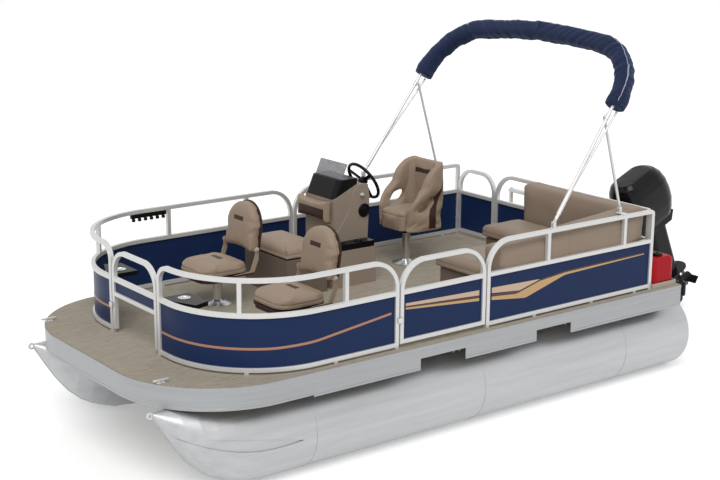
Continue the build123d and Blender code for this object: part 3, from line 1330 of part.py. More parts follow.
# Outboard, drawn upright on its own plane: x aft of the tilt axis, z up along the leg,
# the whole plane trimmed up about the tilt axis
DRIVE_TILT = 24.0
TILT_UP = 55.0
DRIVE = Plane(
    origin=(TRANSOM_X - 10.0, 0, TRANSOM_TOP_Z + TILT_UP),
    x_dir=(-cos(radians(DRIVE_TILT)), 0, sin(radians(DRIVE_TILT))),
    z_dir=(sin(radians(DRIVE_TILT)), 0, cos(radians(DRIVE_TILT))),
)
DRIVE_SIDE = Plane(origin=DRIVE.origin, x_dir=DRIVE.x_dir, z_dir=(0, 1, 0))


def drive_slab(points, width):
    """A solid from a side profile (aft, up) in the outboard's own plane, centred on it."""
    with BuildPart(mode=Mode.PRIVATE) as solid:
        with BuildSketch(DRIVE_SIDE):
            with BuildLine():
                Polyline(*points, close=True)
            make_face()
        extrude(amount=width / 2, both=True)
    return solid.part


def drive_post(aft, radius, low, high):
    """A round post along the leg's own upright direction."""
    with BuildPart(mode=Mode.PRIVATE) as solid:
        with BuildSketch(DRIVE.offset(low)):
            with Locations((aft, 0)):
                Circle(radius)
        extrude(amount=high - low)
    return solid.part


TILT_X = TRANSOM_X - 10.0
TILT_Z = TRANSOM_TOP_Z + TILT_UP
TILT_TUBE_R = 13.0
CLAMP_IN = 60.0
CLAMP_THICK = 10.0
clamp_profile = [
    (TRANSOM_X + TRANSOM_THICK + 12, TRANSOM_TOP_Z),
    (TRANSOM_X + TRANSOM_THICK + 12, TRANSOM_TOP_Z + 20),
    (TILT_X + 22, TILT_Z + 20),
    (TILT_X - 20, TILT_Z + 20),
    (TILT_X - 60, TILT_Z - 60),
    (TILT_X - 50, TRANSOM_TOP_Z - 220),
    (TRANSOM_X, TRANSOM_TOP_Z - 240),
    (TRANSOM_X, TRANSOM_TOP_Z),
]
drive_clamp = joined(
    across(clamp_profile, CLAMP_IN, CLAMP_IN + CLAMP_THICK),
    across(clamp_profile, -CLAMP_IN - CLAMP_THICK, -CLAMP_IN),
    cross_pin((TILT_X, 0, TILT_Z), TILT_TUBE_R, 2 * (CLAMP_IN + CLAMP_THICK)),
)
export(drive_clamp, "drive_clamp")

KING_AFT = 95.0
KING_R = 16.0
SWIVEL_R = 34.0
SWIVEL_TOP = 30.0
SWIVEL_LOW = -340.0
PIN_CLEAR = 0.3
swivel_arm = drive_slab(
    [(-24, -22), (-24, 24), (10, SWIVEL_TOP), (KING_AFT, SWIVEL_TOP), (KING_AFT, -320), (70, -320), (30, -60)],
    100.0,
)
swivel_post = drive_post(KING_AFT, SWIVEL_R, SWIVEL_LOW, SWIVEL_TOP)
with BuildPart() as drive_swivel:
    add(swivel_arm)
    add(swivel_post)
    add(drive_post(KING_AFT, KING_R + PIN_CLEAR, SWIVEL_LOW - 1, SWIVEL_TOP + 1), mode=Mode.SUBTRACT)
    add(cross_pin((TILT_X, 0, TILT_Z), TILT_TUBE_R + PIN_CLEAR, 120.0), mode=Mode.SUBTRACT)
export(drive_swivel.part, "drive_swivel")

# Leg: pan under the engine, midsection, plates, gearcase and skeg
PAN_LOW = 36.0
PAN_TOP = 120.0
PLATE_W = -520.0
SHAFT_W = -700.0
GEARCASE_R = 55.0
GEARCASE_END = 450.0
leg_pan = drive_slab([(55, PAN_LOW), (0, PAN_LOW + 30), (-20, PAN_TOP), (430, PAN_TOP), (380, PAN_LOW)], 240.0)
with BuildPart() as leg_middle:
    with BuildSketch(DRIVE.offset(PLATE_W)):
        with Locations((260, 0)):
            RectangleRounded(225.0, 120.0, 50.0)
    extrude(amount=PAN_LOW - PLATE_W + 10)
leg_yoke = drive_slab(
    [
        (KING_AFT - 20, SWIVEL_LOW - 25),
        (KING_AFT - 20, SWIVEL_LOW - PIN_CLEAR),
        (200, SWIVEL_LOW - PIN_CLEAR),
        (200, SWIVEL_LOW - 25),
    ],
    60.0,
)
with BuildPart() as leg_plate:
    with BuildSketch(DRIVE.offset(PLATE_W - 5)):
        with Locations((280, 0)):
            RectangleRounded(400.0, 210.0, 100.0)
    extrude(amount=10.0)
leg_strut = drive_slab([(170, PLATE_W), (400, PLATE_W), (400, SHAFT_W), (150, SHAFT_W)], 40.0)
leg_skeg = drive_slab([(150, SHAFT_W), (400, SHAFT_W), (370, -870), (350, -885), (260, -885), (215, -800)], 14.0)
with BuildPart() as leg_gearcase:
    with BuildSketch(DRIVE_SIDE):
        with BuildLine():
            Polyline(
                (60, SHAFT_W),
                (75, SHAFT_W + GEARCASE_R * 0.55),
                (120, SHAFT_W + GEARCASE_R * 0.9),
                (180, SHAFT_W + GEARCASE_R),
                (360, SHAFT_W + GEARCASE_R),
                (GEARCASE_END, SHAFT_W + GEARCASE_R * 0.8),
                (GEARCASE_END, SHAFT_W),
                close=True,
            )
        make_face()
    revolve(axis=Axis(DRIVE.from_local_coords(Vector(0, 0, SHAFT_W)), DRIVE.x_dir))
drive_leg = joined(
    leg_pan,
    leg_middle.part,
    leg_yoke,
    drive_post(KING_AFT, KING_R, SWIVEL_LOW - 10, PAN_LOW + 10),
    leg_plate.part,
    leg_strut,
    leg_skeg,
    leg_gearcase.part,
)
export(drive_leg, "drive_leg")

# Engine cover: a thin shell on the pan, narrower at its foot and crown
# Sections: height over the tilt axis, centre aft of it, length, width
COVER_SECTIONS = (
    (PAN_TOP, 190.0, 520.0, 300.0),
    (170.0, 193.0, 565.0, 325.0),
    (260.0, 196.0, 605.0, 348.0),
    (350.0, 193.0, 612.0, 350.0),
    (450.0, 184.0, 592.0, 341.0),
    (530.0, 173.0, 540.0, 312.0),
    (580.0, 165.0, 470.0, 268.0),
    (610.0, 160.0, 370.0, 200.0),
)
COVER_WALL = 5.0
with BuildPart() as drive_cover:
    for up, aft, length, width in COVER_SECTIONS:
        with BuildSketch(DRIVE.offset(up)):
            with Locations((aft, 0)):
                RectangleRounded(length, width, width / 2 - 5)
    loft(ruled=True)
    for up, aft, length, width in COVER_SECTIONS:
        lower = up if up == PAN_TOP else up - COVER_WALL
        with BuildSketch(DRIVE.offset(lower)):
            with Locations((aft, 0)):
                RectangleRounded(length - 2 * COVER_WALL, width - 2 * COVER_WALL, width / 2 - 5 - COVER_WALL)
    loft(ruled=True, mode=Mode.SUBTRACT)
export(drive_cover.part, "drive_cover")

with BuildPart() as engine_block:
    with BuildSketch(DRIVE.offset(PAN_TOP)):
        with Locations((190, 0)):
            Rectangle(340.0, 200.0)
    extrude(amount=380.0)
export(engine_block.part, "engine_block")

# Propeller: hub and three pitched blades
PROP_R = 125.0
PROP_HUB_R = 42.0
PROP_LENGTH = 75.0
PROP_BLADES = 3
PROP_PITCH = radians(35)
PROP_CLEAR = 0.5
prop_plane = Plane(
    origin=DRIVE.from_local_coords(Vector(GEARCASE_END + PROP_CLEAR, 0, SHAFT_W)),
    x_dir=(0, 1, 0),
    z_dir=DRIVE.x_dir,
)
with BuildPart() as propeller:
    with BuildSketch(prop_plane):
        Circle(PROP_HUB_R)
    extrude(amount=PROP_LENGTH)
    for i in range(PROP_BLADES):
        turn = 2 * pi * i / PROP_BLADES
        radial = prop_plane.x_dir * cos(turn) + prop_plane.y_dir * sin(turn)
        around = radial.cross(prop_plane.z_dir)
        chord = prop_plane.z_dir * cos(PROP_PITCH) + around * sin(PROP_PITCH)
        root = prop_plane.origin + prop_plane.z_dir * (PROP_LENGTH / 2) + radial * (PROP_HUB_R - 8)
        with BuildSketch(Plane(origin=root, x_dir=chord, z_dir=radial)):
            Rectangle(75.0, 8.0)
        extrude(amount=PROP_R - PROP_HUB_R + 8)
export(propeller.part, "propeller")

# Canopy: a bent bow pivoted on each side rail, stowed in its boot and held up by braces
CANOPY_X = station(0.6982)
CANOPY_Z = DECK_TOP_Z + FENCE_TOP + 38.0
CANOPY_LEAN = 36.5
BOW_TUBE_R = 12.7
SHOULDER_Y = 1112.0
SHOULDER_UP = 1500.0
CROWN_UP = 1590.0
BOW_BENDS = [500.0, 3000.0, 500.0]
BOOT_START = 1010.0
BOOT_RISE = 150.0
BOOT_THICK = 150.0
BOOT_BACK = 22.0
SLEEVE = (70.0, 300.0)
SLEEVE_R = 16.0
SECOND_R = 9.5
SECOND_START = 230.0
SECOND_OFF = (4.0, 66.0)
BRACE_AT = 920.0
BRACE_R = 11.0
BRACE_IN = 34.0
COLLAR_R = 18.0
FOOT_THICK = 16.0
EYE_R = 12.0
NECK_CLEAR = 32.0
NECK_LENGTH = 48.0
BOW_NECK = 16.0
BRACE_NECK = 14.0
FOOT_PIN_R = 4.0
EAR_THICK = 4.0
lean_sin = sin(radians(CANOPY_LEAN))
lean_cos = cos(radians(CANOPY_LEAN))
CANOPY = Plane(origin=(CANOPY_X, 0, CANOPY_Z), x_dir=(0, 1, 0), z_dir=(lean_cos, 0, lean_sin))


def on_canopy(across_y, along, off=0.0):
    """A place in the canopy's leaning plane: across, along the bow, off its face."""
    return CANOPY.from_local_coords(Vector(across_y, along, off))


def rod(start, finish, radius):
    """A straight round bar between two places."""
    with BuildPart(mode=Mode.PRIVATE) as solid:
        direction = finish - start
        with BuildSketch(Plane(origin=start, z_dir=direction)):
            Circle(radius)
        extrude(amount=direction.length)
    return solid.part


def bow_y(along):
    """Half the canopy bow's width at one place up its leg: the legs lean in."""
    return FENCE_Y - (FENCE_Y - SHOULDER_Y) * along / SHOULDER_UP


BRACE_Y = bow_y(BRACE_AT) - BRACE_IN
bow_points = [
    on_canopy(-bow_y(NECK_CLEAR), NECK_CLEAR),
    on_canopy(-SHOULDER_Y, SHOULDER_UP),
    on_canopy(0, CROWN_UP),
    on_canopy(SHOULDER_Y, SHOULDER_UP),
    on_canopy(bow_y(NECK_CLEAR), NECK_CLEAR),
]
boot_points = [
    on_canopy(-bow_y(BOOT_START), BOOT_START, -BOOT_BACK),
    on_canopy(-SHOULDER_Y, SHOULDER_UP, -BOOT_BACK),
    on_canopy(0, CROWN_UP, -BOOT_BACK),
    on_canopy(SHOULDER_Y, SHOULDER_UP, -BOOT_BACK),
    on_canopy(bow_y(BOOT_START), BOOT_START, -BOOT_BACK),
]


def swept_round(points, bend, radius):
    """A round bar along a bent path."""
    path = bent(points, bend)
    with BuildPart(mode=Mode.PRIVATE) as solid:
        with BuildSketch(Plane(origin=path @ 0, z_dir=path % 0)):
            Circle(radius)
        sweep(path=path)
    return solid.part


def neck(centre, toward, width):
    """A square neck that ends in a flat eye, for a pin along Y."""
    with BuildPart(mode=Mode.PRIVATE) as end:
        with BuildSketch(Plane(origin=centre, x_dir=(0, 1, 0), z_dir=toward - centre)):
            Rectangle(width, width)
        extrude(amount=NECK_LENGTH)
        with Locations(Location(centre, (90, 0, 0))):
            Cylinder(EYE_R, FOOT_THICK)
    return end.part


def pivot_hole(centre):
    """The running hole of an eye."""
    return cross_pin(centre, FOOT_PIN_R + PIN_CLEAR, 2 * FOOT_THICK)


bow_pieces = [swept_round(bow_points, BOW_BENDS, BOW_TUBE_R)]
for side in (1, -1):
    for low, high, radius in ((SLEEVE[0], SLEEVE[1], SLEEVE_R), (BRACE_AT - 25, BRACE_AT + 25, COLLAR_R)):
        bow_pieces.append(rod(on_canopy(side * bow_y(low), low), on_canopy(side * bow_y(high), high), radius))
    second_foot = on_canopy(side * bow_y(SECOND_START), SECOND_START, -SECOND_OFF[0])
    second_head = on_canopy(side * bow_y(BOOT_START), BOOT_START - 8, -SECOND_OFF[1])
    bow_pieces.append(rod(second_foot, second_head, SECOND_R))
with BuildPart() as canopy_bow:
    for piece in bow_pieces:
        add(piece)
    for side in (1, -1):
        add(neck(on_canopy(side * FENCE_Y, 0), on_canopy(side * SHOULDER_Y, SHOULDER_UP), BOW_NECK))
    for side in (1, -1):
        add(pivot_hole(on_canopy(side * FENCE_Y, 0)), mode=Mode.SUBTRACT)
export(canopy_bow.part, "canopy_bow")

boot_path = bent(boot_points, BOW_BENDS)
with BuildPart() as canopy_boot:
    with BuildSketch(Plane(origin=boot_path @ 0, x_dir=(0, 1, 0), z_dir=boot_path % 0)):
        RectangleRounded(BOOT_RISE, BOOT_THICK, 55.0)
    sweep(path=boot_path)
    add(swept_round(bow_points, BOW_BENDS, BOW_TUBE_R + SOFT_GAP), mode=Mode.SUBTRACT)
export(canopy_boot.part, "canopy_boot")

BRACE_FOOT_X = station(0.8636)
for side, name in ((1, "port"), (-1, "starboard")):
    foot = Vector(BRACE_FOOT_X, side * BRACE_Y, CANOPY_Z)
    head = on_canopy(side * BRACE_Y, BRACE_AT)
    along = (head - foot).normalized()
    with BuildPart() as brace:
        add(rod(foot + along * NECK_CLEAR, head, BRACE_R))
        add(neck(foot, head, BRACE_NECK))
        add(pivot_hole(foot), mode=Mode.SUBTRACT)
    export(brace.part, f"canopy_brace_{name}")

# Rail mounts: a pad on the rail, two ears and a pin, for the bow and for its brace
RAIL_TOP_Z = DECK_TOP_Z + FENCE_TOP
EAR_SIDE = 1.0
with BuildPart() as canopy_mounts:
    for side in (1, -1):
        for mount_x, mount_y in ((CANOPY_X, FENCE_Y), (BRACE_FOOT_X, BRACE_Y)):
            y = side * mount_y
            pad_y = sorted((side * (FENCE_Y + RAIL / 2), side * (mount_y - 15)))
            add(box((mount_x - 28, mount_x + 28), pad_y, (RAIL_TOP_Z, RAIL_TOP_Z + 6)))
            for edge in (1, -1):
                ear_y = y + edge * (FOOT_THICK / 2 + EAR_SIDE + EAR_THICK / 2)
                add(
                    box(
                        (mount_x - 14, mount_x + 14),
                        (ear_y - EAR_THICK / 2, ear_y + EAR_THICK / 2),
                        (RAIL_TOP_Z, CANOPY_Z + 12),
                    )
                )
            with Locations(Location((mount_x, y, CANOPY_Z), (90, 0, 0))):
                Cylinder(FOOT_PIN_R, FOOT_THICK + 2 * EAR_SIDE + 2 * EAR_THICK)
export(canopy_mounts.part, "canopy_mounts")
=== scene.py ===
import math

import bpy
from mathutils import Matrix, Vector, noise


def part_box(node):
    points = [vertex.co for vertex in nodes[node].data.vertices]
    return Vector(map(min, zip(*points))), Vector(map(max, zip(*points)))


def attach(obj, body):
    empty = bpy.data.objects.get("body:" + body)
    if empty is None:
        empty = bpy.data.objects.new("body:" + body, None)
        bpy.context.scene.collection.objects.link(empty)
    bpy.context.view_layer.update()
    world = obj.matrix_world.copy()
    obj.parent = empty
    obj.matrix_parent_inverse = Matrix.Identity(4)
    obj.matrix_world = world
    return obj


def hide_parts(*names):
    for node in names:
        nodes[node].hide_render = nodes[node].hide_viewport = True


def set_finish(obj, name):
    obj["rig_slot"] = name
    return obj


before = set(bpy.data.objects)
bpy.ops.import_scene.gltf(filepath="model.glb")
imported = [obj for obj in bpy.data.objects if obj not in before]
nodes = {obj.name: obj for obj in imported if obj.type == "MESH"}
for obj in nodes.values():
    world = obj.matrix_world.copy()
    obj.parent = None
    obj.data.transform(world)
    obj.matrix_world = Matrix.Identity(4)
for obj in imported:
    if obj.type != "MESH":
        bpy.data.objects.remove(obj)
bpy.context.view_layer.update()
scene = bpy.context.scene

# The yard: the boat stands on its two tubes on a plain pale floor under one soft lamp
# and an even sky. The camera looks down on the port bow from nearly four metres up.
CAMERA_AT = Vector((7.2609, 8.4777, 3.8866))
YAW, PITCH, ROLL = -2.2227, -0.2441, 0.0075
LENS = 71.765
FLOOR_SIZE = 60.0
FLOOR_LIFT = 0.30
SKY_ON_BOAT = 0.55
SUN_SPREAD = math.radians(38)
SUN_ENERGY = 1.7


def deselect():
    """Nothing stays selected, so that the next operator acts on its own piece alone."""
    if bpy.context.object and bpy.context.object.mode != "OBJECT":
        bpy.ops.object.mode_set(mode="OBJECT")
    bpy.ops.object.select_all(action="DESELECT")


def new_material(name):
    """An empty node material with its shader."""
    material = bpy.data.materials.new(name)
    material.use_nodes = True
    tree = material.node_tree
    return material, tree, tree.nodes["Principled BSDF"]


def seen_straight(tree, low, high):
    """The low value for light on the boat, the high one where the lens, gloss or glass sees it."""
    rays = tree.nodes.new("ShaderNodeLightPath")
    total = rays.outputs["Is Camera Ray"]
    for label in ("Is Glossy Ray", "Is Transmission Ray"):
        either = tree.nodes.new("ShaderNodeMath")
        either.operation = "MAXIMUM"
        tree.links.new(total, either.inputs[0])
        tree.links.new(rays.outputs[label], either.inputs[1])
        total = either.outputs[0]
    level = tree.nodes.new("ShaderNodeMapRange")
    level.inputs["To Min"].default_value = low
    level.inputs["To Max"].default_value = high
    tree.links.new(total, level.inputs["Value"])
    return level.outputs["Result"]


deselect()
bpy.ops.mesh.primitive_plane_add(size=FLOOR_SIZE, location=(0, 0, 0))
floor = bpy.context.object
floor.name = "yard_floor"
floor_finish, tree, shader = new_material("pale_floor")
shader.inputs["Base Color"].default_value = (0.90, 0.90, 0.90, 1)
shader.inputs["Roughness"].default_value = 0.9
shader.inputs["Specular IOR Level"].default_value = 0.1
shader.inputs["Emission Color"].default_value = (1, 1, 1, 1)
tree.links.new(seen_straight(tree, 0.0, FLOOR_LIFT), shader.inputs["Emission Strength"])
floor.data.materials.append(floor_finish)

world = bpy.data.worlds.new("soft_sky")
scene.world = world
world.use_nodes = True
background = world.node_tree.nodes["Background"]
background.inputs["Color"].default_value = (1, 1, 1, 1)
world.node_tree.links.new(seen_straight(world.node_tree, SKY_ON_BOAT, 1.0), background.inputs["Strength"])

bpy.ops.object.light_add(type="SUN", location=(5.0, 6.0, 9.0))
lamp = bpy.context.object
lamp.name = "soft_lamp"
lamp.data.angle = SUN_SPREAD
lamp.data.energy = SUN_ENERGY
lamp.rotation_euler = (-lamp.location).to_track_quat("-Z", "Y").to_euler()

camera_data = bpy.data.cameras.new("photo_camera")
camera = bpy.data.objects.new("photo_camera", camera_data)
scene.collection.objects.link(camera)
camera_data.sensor_width = 36.0
camera_data.lens = LENS
camera_data.clip_end = 200.0
look = Vector((math.cos(PITCH) * math.cos(YAW), math.cos(PITCH) * math.sin(YAW), math.sin(PITCH)))
right = look.cross(Vector((0, 0, 1))).normalized()
up = right.cross(look)
turned_right = right * math.cos(ROLL) + up * math.sin(ROLL)
turned_up = up * math.cos(ROLL) - right * math.sin(ROLL)
stand = Matrix((turned_right, turned_up, -look)).transposed().to_4x4()
stand.translation = CAMERA_AT
camera.matrix_world = stand
scene.camera = camera
scene.view_settings.view_transform = "Standard"

# The tubes: two sheet-aluminium tubes under the deck, mill finish, welded round at their
# seams. Fine streaks from rolling run along them, and their strong dark tone is also
# painted reflection.
VEC, NUM, COL = "NodeSocketVector", "NodeSocketFloat", "NodeSocketColor"


def effect(name, inputs, outputs):
    """A new shader group with named inputs and outputs."""
    group = bpy.data.node_groups.new(name, "ShaderNodeTree")
    for label, kind, value in inputs:
        group.interface.new_socket(name=label, in_out="INPUT", socket_type=kind).default_value = value
    for label, kind in outputs:
        group.interface.new_socket(name=label, in_out="OUTPUT", socket_type=kind)
    return group, group.nodes.new("NodeGroupInput"), group.nodes.new("NodeGroupOutput")


def around_one(group, given, fac, out):
    """A mask becomes a shade around 1 and a roughness around the given one."""
    centred = group.nodes.new("ShaderNodeMath")
    centred.operation = "SUBTRACT"
    centred.inputs[1].default_value = 0.5
    group.links.new(fac, centred.inputs[0])
    for swing, base, output in (("Tone", None, "Shade"), ("Swing", "Rough", "Roughness")):
        toned = group.nodes.new("ShaderNodeMath")
        toned.operation = "MULTIPLY_ADD"
        toned.inputs[2].default_value = 1.0
        group.links.new(centred.outputs[0], toned.inputs[0])
        group.links.new(given.outputs[swing], toned.inputs[1])
        if base:
            group.links.new(given.outputs[base], toned.inputs[2])
        group.links.new(toned.outputs[0], out.inputs[output])


# Streaks: long soft noise along one axis, for roughness, tone and a faint relief; the tone shows rolling
# and brushing streaks, and on the tubes it is also painted reflection
streaks, given, out = effect(
    "streaks_and_painted_reflections",
    [("Stretch", VEC, (2.0, 60.0, 60.0)), ("Tone", NUM, 0.12), ("Rough", NUM, 0.35), ("Swing", NUM, 0.12)],
    [("Shade", NUM), ("Roughness", NUM), ("Height", NUM)],
)
place = streaks.nodes.new("ShaderNodeTexCoord")
scaled = streaks.nodes.new("ShaderNodeVectorMath")
scaled.operation = "MULTIPLY"
streaks.links.new(place.outputs["Object"], scaled.inputs[0])
streaks.links.new(given.outputs["Stretch"], scaled.inputs[1])
drawn = streaks.nodes.new("ShaderNodeTexNoise")
drawn.inputs["Scale"].default_value = 1.0
drawn.inputs["Detail"].default_value = 6.0
drawn.inputs["Roughness"].default_value = 0.6
streaks.links.new(scaled.outputs[0], drawn.inputs["Vector"])
around_one(streaks, given, drawn.outputs["Fac"], out)
streaks.links.new(drawn.outputs["Fac"], out.inputs["Height"])


def shaded(tree, color, factor):
    """A plain colour multiplied by a shade that changes over the surface."""
    mix = tree.nodes.new("ShaderNodeMix")
    mix.data_type = "RGBA"
    mix.blend_type = "MULTIPLY"
    mix.inputs["Factor"].default_value = 1.0
    mix.inputs["A"].default_value = (*color, 1)
    tree.links.new(factor, mix.inputs["B"])
    return mix.outputs["Result"]


def relief(tree, shader, height, strength, distance, rounding=0.0):
    """A fine relief on the shader, with softened edges where rounding is given."""
    bump = tree.nodes.new("ShaderNodeBump")
    bump.inputs["Strength"].default_value = strength
    bump.inputs["Distance"].default_value = distance
    tree.links.new(height, bump.inputs["Height"])
    if rounding:
        soft_edge = tree.nodes.new("ShaderNodeBevel")
        soft_edge.inputs["Radius"].default_value = rounding
        tree.links.new(soft_edge.outputs["Normal"], bump.inputs["Normal"])
    tree.links.new(bump.outputs["Normal"], shader.inputs["Normal"])


def skinned(name, group, values, color):
    """A material whose colour and roughness follow one of the shade groups."""
    material, tree, shader = new_material(name)
    skin = tree.nodes.new("ShaderNodeGroup")
    skin.node_tree = group
    for label, value in values.items():
        skin.inputs[label].default_value = value
    tree.links.new(shaded(tree, color, skin.outputs["Shade"]), shader.inputs["Base Color"])
    tree.links.new(skin.outputs["Roughness"], shader.inputs["Roughness"])
    return material, tree, shader, skin


def metal(name, color, stretch, rough, swing=0.12, tone=0.12, strength=0.15, rounding=0.0, bare=1.0):
    """Bare metal, or satin anodised where bare is under 1, with rolling or brushing streaks; where their
    tone is strong, the streaks are also painted reflections.
    """
    values = {"Stretch": stretch, "Tone": tone, "Rough": rough, "Swing": swing}
    material, tree, shader, grain = skinned(name, streaks, values, color)
    relief(tree, shader, grain.outputs["Height"], strength, 0.0006, rounding)
    shader.inputs["Metallic"].default_value = bare
    return material


def dress(node, material):
    """A carried-over piece takes its finish."""
    slots = nodes[node].data.materials
    slots.clear()
    slots.append(material)


# The tubes' strong streak tone is partly rolling streaks and partly painted reflections: dark bands along
# the tubes.
tube_metal = metal(
    "tube_mill_aluminium", (0.50, 0.51, 0.52), (1.0, 16.0, 16.0), 0.40,
    swing=0.3, tone=0.45, strength=0.4, bare=0.75,
)
channel_metal = metal("channel_aluminium", (0.36, 0.37, 0.38), (25.0, 1.5, 25.0), 0.5, bare=0.75)
for piece in ("tube_brackets", "cross_channels", "motor_pod", "transom_board", "ladder_bracket"):
    dress(piece, channel_metal)
dress("pontoons", tube_metal)

# The deck: marine board covered in woven vinyl in sand and brown threads, edged by
# extruded aluminium rails that bend round the bow and stop at moulded corner caps.
weave, given, out = effect(
    "woven_threads",
    [("Pitch", NUM, 420.0), ("Light", COL, (0.5, 0.45, 0.38, 1)), ("Dark", COL, (0.25, 0.2, 0.15, 1))],
    [("Color", COL), ("Height", NUM)],
)
place = weave.nodes.new("ShaderNodeTexCoord")
apart = weave.nodes.new("ShaderNodeSeparateXYZ")
weave.links.new(place.outputs["Object"], apart.inputs[0])
crossed = weave.nodes.new("ShaderNodeMath")
crossed.operation = "MULTIPLY"
for turn, label in enumerate(("X", "Y")):
    step = weave.nodes.new("ShaderNodeMath")
    step.operation = "MULTIPLY"
    weave.links.new(apart.outputs[label], step.inputs[0])
    weave.links.new(given.outputs["Pitch"], step.inputs[1])
    wave = weave.nodes.new("ShaderNodeMath")
    wave.operation = "SINE"
    weave.links.new(step.outputs[0], wave.inputs[0])
    weave.links.new(wave.outputs[0], crossed.inputs[turn])
flecks = weave.nodes.new("ShaderNodeTexNoise")
flecks.inputs["Scale"].default_value = 60.0
flecks.inputs["Detail"].default_value = 8.0
flecks.inputs["Roughness"].default_value = 0.75
stretched = weave.nodes.new("ShaderNodeVectorMath")
stretched.operation = "MULTIPLY"
stretched.inputs[1].default_value = (0.22, 1.6, 1.0)
weave.links.new(place.outputs["Object"], stretched.inputs[0])
weave.links.new(stretched.outputs[0], flecks.inputs["Vector"])
blend = weave.nodes.new("ShaderNodeMath")
blend.operation = "MULTIPLY_ADD"
blend.inputs[1].default_value = 0.16
weave.links.new(crossed.outputs[0], blend.inputs[0])
weave.links.new(flecks.outputs["Fac"], blend.inputs[2])
spread = weave.nodes.new("ShaderNodeMapRange")
spread.inputs["From Min"].default_value = 0.3
spread.inputs["From Max"].default_value = 0.7
weave.links.new(blend.outputs[0], spread.inputs["Value"])
mix = weave.nodes.new("ShaderNodeMix")
mix.data_type = "RGBA"
weave.links.new(spread.outputs["Result"], mix.inputs["Factor"])
weave.links.new(given.outputs["Dark"], mix.inputs["A"])
weave.links.new(given.outputs["Light"], mix.inputs["B"])
weave.links.new(mix.outputs["Result"], out.inputs["Color"])
weave.links.new(crossed.outputs[0], out.inputs["Height"])


def woven(name, pitch, light, dark, rough, sheen, strength):
    """Woven vinyl or canvas: threads of two tones with a fine relief."""
    material, tree, shader = new_material(name)
    cloth = tree.nodes.new("ShaderNodeGroup")
    cloth.node_tree = weave
    cloth.inputs["Pitch"].default_value = pitch
    cloth.inputs["Light"].default_value = (*light, 1)
    cloth.inputs["Dark"].default_value = (*dark, 1)
    tree.links.new(cloth.outputs["Color"], shader.inputs["Base Color"])
    relief(tree, shader, cloth.outputs["Height"], strength, 0.0006)
    shader.inputs["Roughness"].default_value = rough
    shader.inputs["Specular IOR Level"].default_value = 0.2
    shader.inputs["Sheen Weight"].default_value = sheen
    return material


deck_vinyl = woven(
    "deck_woven_vinyl", 900.0, (0.43, 0.385, 0.315), (0.25, 0.215, 0.165),
    rough=0.8, sheen=0.0, strength=0.5,
)
dress("deck_board", deck_vinyl)
rail_metal = metal(
    "anodised_rail", (0.66, 0.66, 0.65), (18.0, 18.0, 18.0), 0.38,
    swing=0.08, tone=0.06, strength=0.05, rounding=0.0045, bare=0.45,
)
edge_metal = metal(
    "deck_edge_extrusion", (0.37, 0.38, 0.39), (1.5, 1.5, 45.0), 0.38,
    swing=0.2, tone=0.3, strength=0.1, rounding=0.003, bare=0.7,
)
dress("deck_rails", edge_metal)
dress("mooring_cleats", rail_metal)

# Moulded pieces: corner caps, trays, tank and console, in grained plastic with slow
# changes of tone and gloss.
mould, given, out = effect(
    "moulded_grain",
    [("Grain", NUM, 900.0), ("Tone", NUM, 0.1), ("Rough", NUM, 0.4), ("Swing", NUM, 0.1)],
    [("Shade", NUM), ("Roughness", NUM), ("Height", NUM)],
)
place = mould.nodes.new("ShaderNodeTexCoord")
cells = mould.nodes.new("ShaderNodeTexVoronoi")
cells.feature = "F1"
mould.links.new(place.outputs["Object"], cells.inputs["Vector"])
mould.links.new(given.outputs["Grain"], cells.inputs["Scale"])
clouds = mould.nodes.new("ShaderNodeTexNoise")
clouds.inputs["Scale"].default_value = 5.0
clouds.inputs["Detail"].default_value = 5.0
mould.links.new(place.outputs["Object"], clouds.inputs["Vector"])
around_one(mould, given, clouds.outputs["Fac"], out)
mould.links.new(cells.outputs["Distance"], out.inputs["Height"])


def moulded(name, color, rough, grain=900.0, strength=0.15, tone=0.1, gloss=0.5, sheen=0.0, rounding=0.0):
    """Moulded plastic, vinyl or paint."""
    values = {"Grain": grain, "Tone": tone, "Rough": rough, "Swing": 0.12}
    material, tree, shader, skin = skinned(name, mould, values, color)
    relief(tree, shader, skin.outputs["Height"], strength, 0.0004, rounding)
    shader.inputs["Specular IOR Level"].default_value = gloss
    shader.inputs["Sheen Weight"].default_value = sheen
    return material


black_mould = moulded("black_moulding", (0.005, 0.005, 0.006), 0.35, gloss=0.14, rounding=0.003)
sand_mould = moulded("sand_moulding", (0.30, 0.24, 0.19), 0.45, gloss=0.3, rounding=0.006)
taupe_mould = moulded("taupe_moulding", (0.165, 0.128, 0.10), 0.5, gloss=0.3, rounding=0.006)
brown_mould = moulded("brown_moulding", (0.040, 0.016, 0.011), 0.45, gloss=0.3, rounding=0.004)
steel = metal("bright_steel", (0.62, 0.62, 0.62), (30.0, 30.0, 30.0), 0.3, rounding=0.002)
for piece in ("corner_caps", "dash_hood", "cup_tray", "rail_trays", "steering_wheel"):
    dress(piece, black_mould)
dress("helm_seat_base", brown_mould)
for piece in ("bench_box", "lounge_base"):
    dress(piece, taupe_mould)
dress("console", sand_mould)
dress("fuel_tray", moulded("tray_sand", (0.36, 0.31, 0.26), 0.45, rounding=0.004))
dress("fuel_tank", moulded("red_tank", (0.36, 0.006, 0.012), 0.35, gloss=0.12, rounding=0.008))
dress("gate_latches", steel)
dress("seat_pedestals", steel)
dress("canopy_mounts", rail_metal)

# The fences and gates: bent square tube, anodised, welded; blue sheet panels between
# their lower rails.
for piece in (
    "bow_fence_port", "bow_fence_starboard", "aft_fence_port", "aft_fence_starboard", "stern_fence",
    "bow_gate", "side_gate", "stern_gate", "boarding_ladder",
    "canopy_bow", "canopy_brace_port", "canopy_brace_starboard",
):
    dress(piece, rail_metal)
blue_paint = moulded(
    "deep_blue_panel", (0.010, 0.024, 0.080), 0.35, grain=40.0, strength=0.01, tone=0.1, gloss=0.12,
)
for piece in ("fence_panels", "bow_gate_panel", "side_gate_panel", "stern_gate_panel"):
    dress(piece, blue_paint)

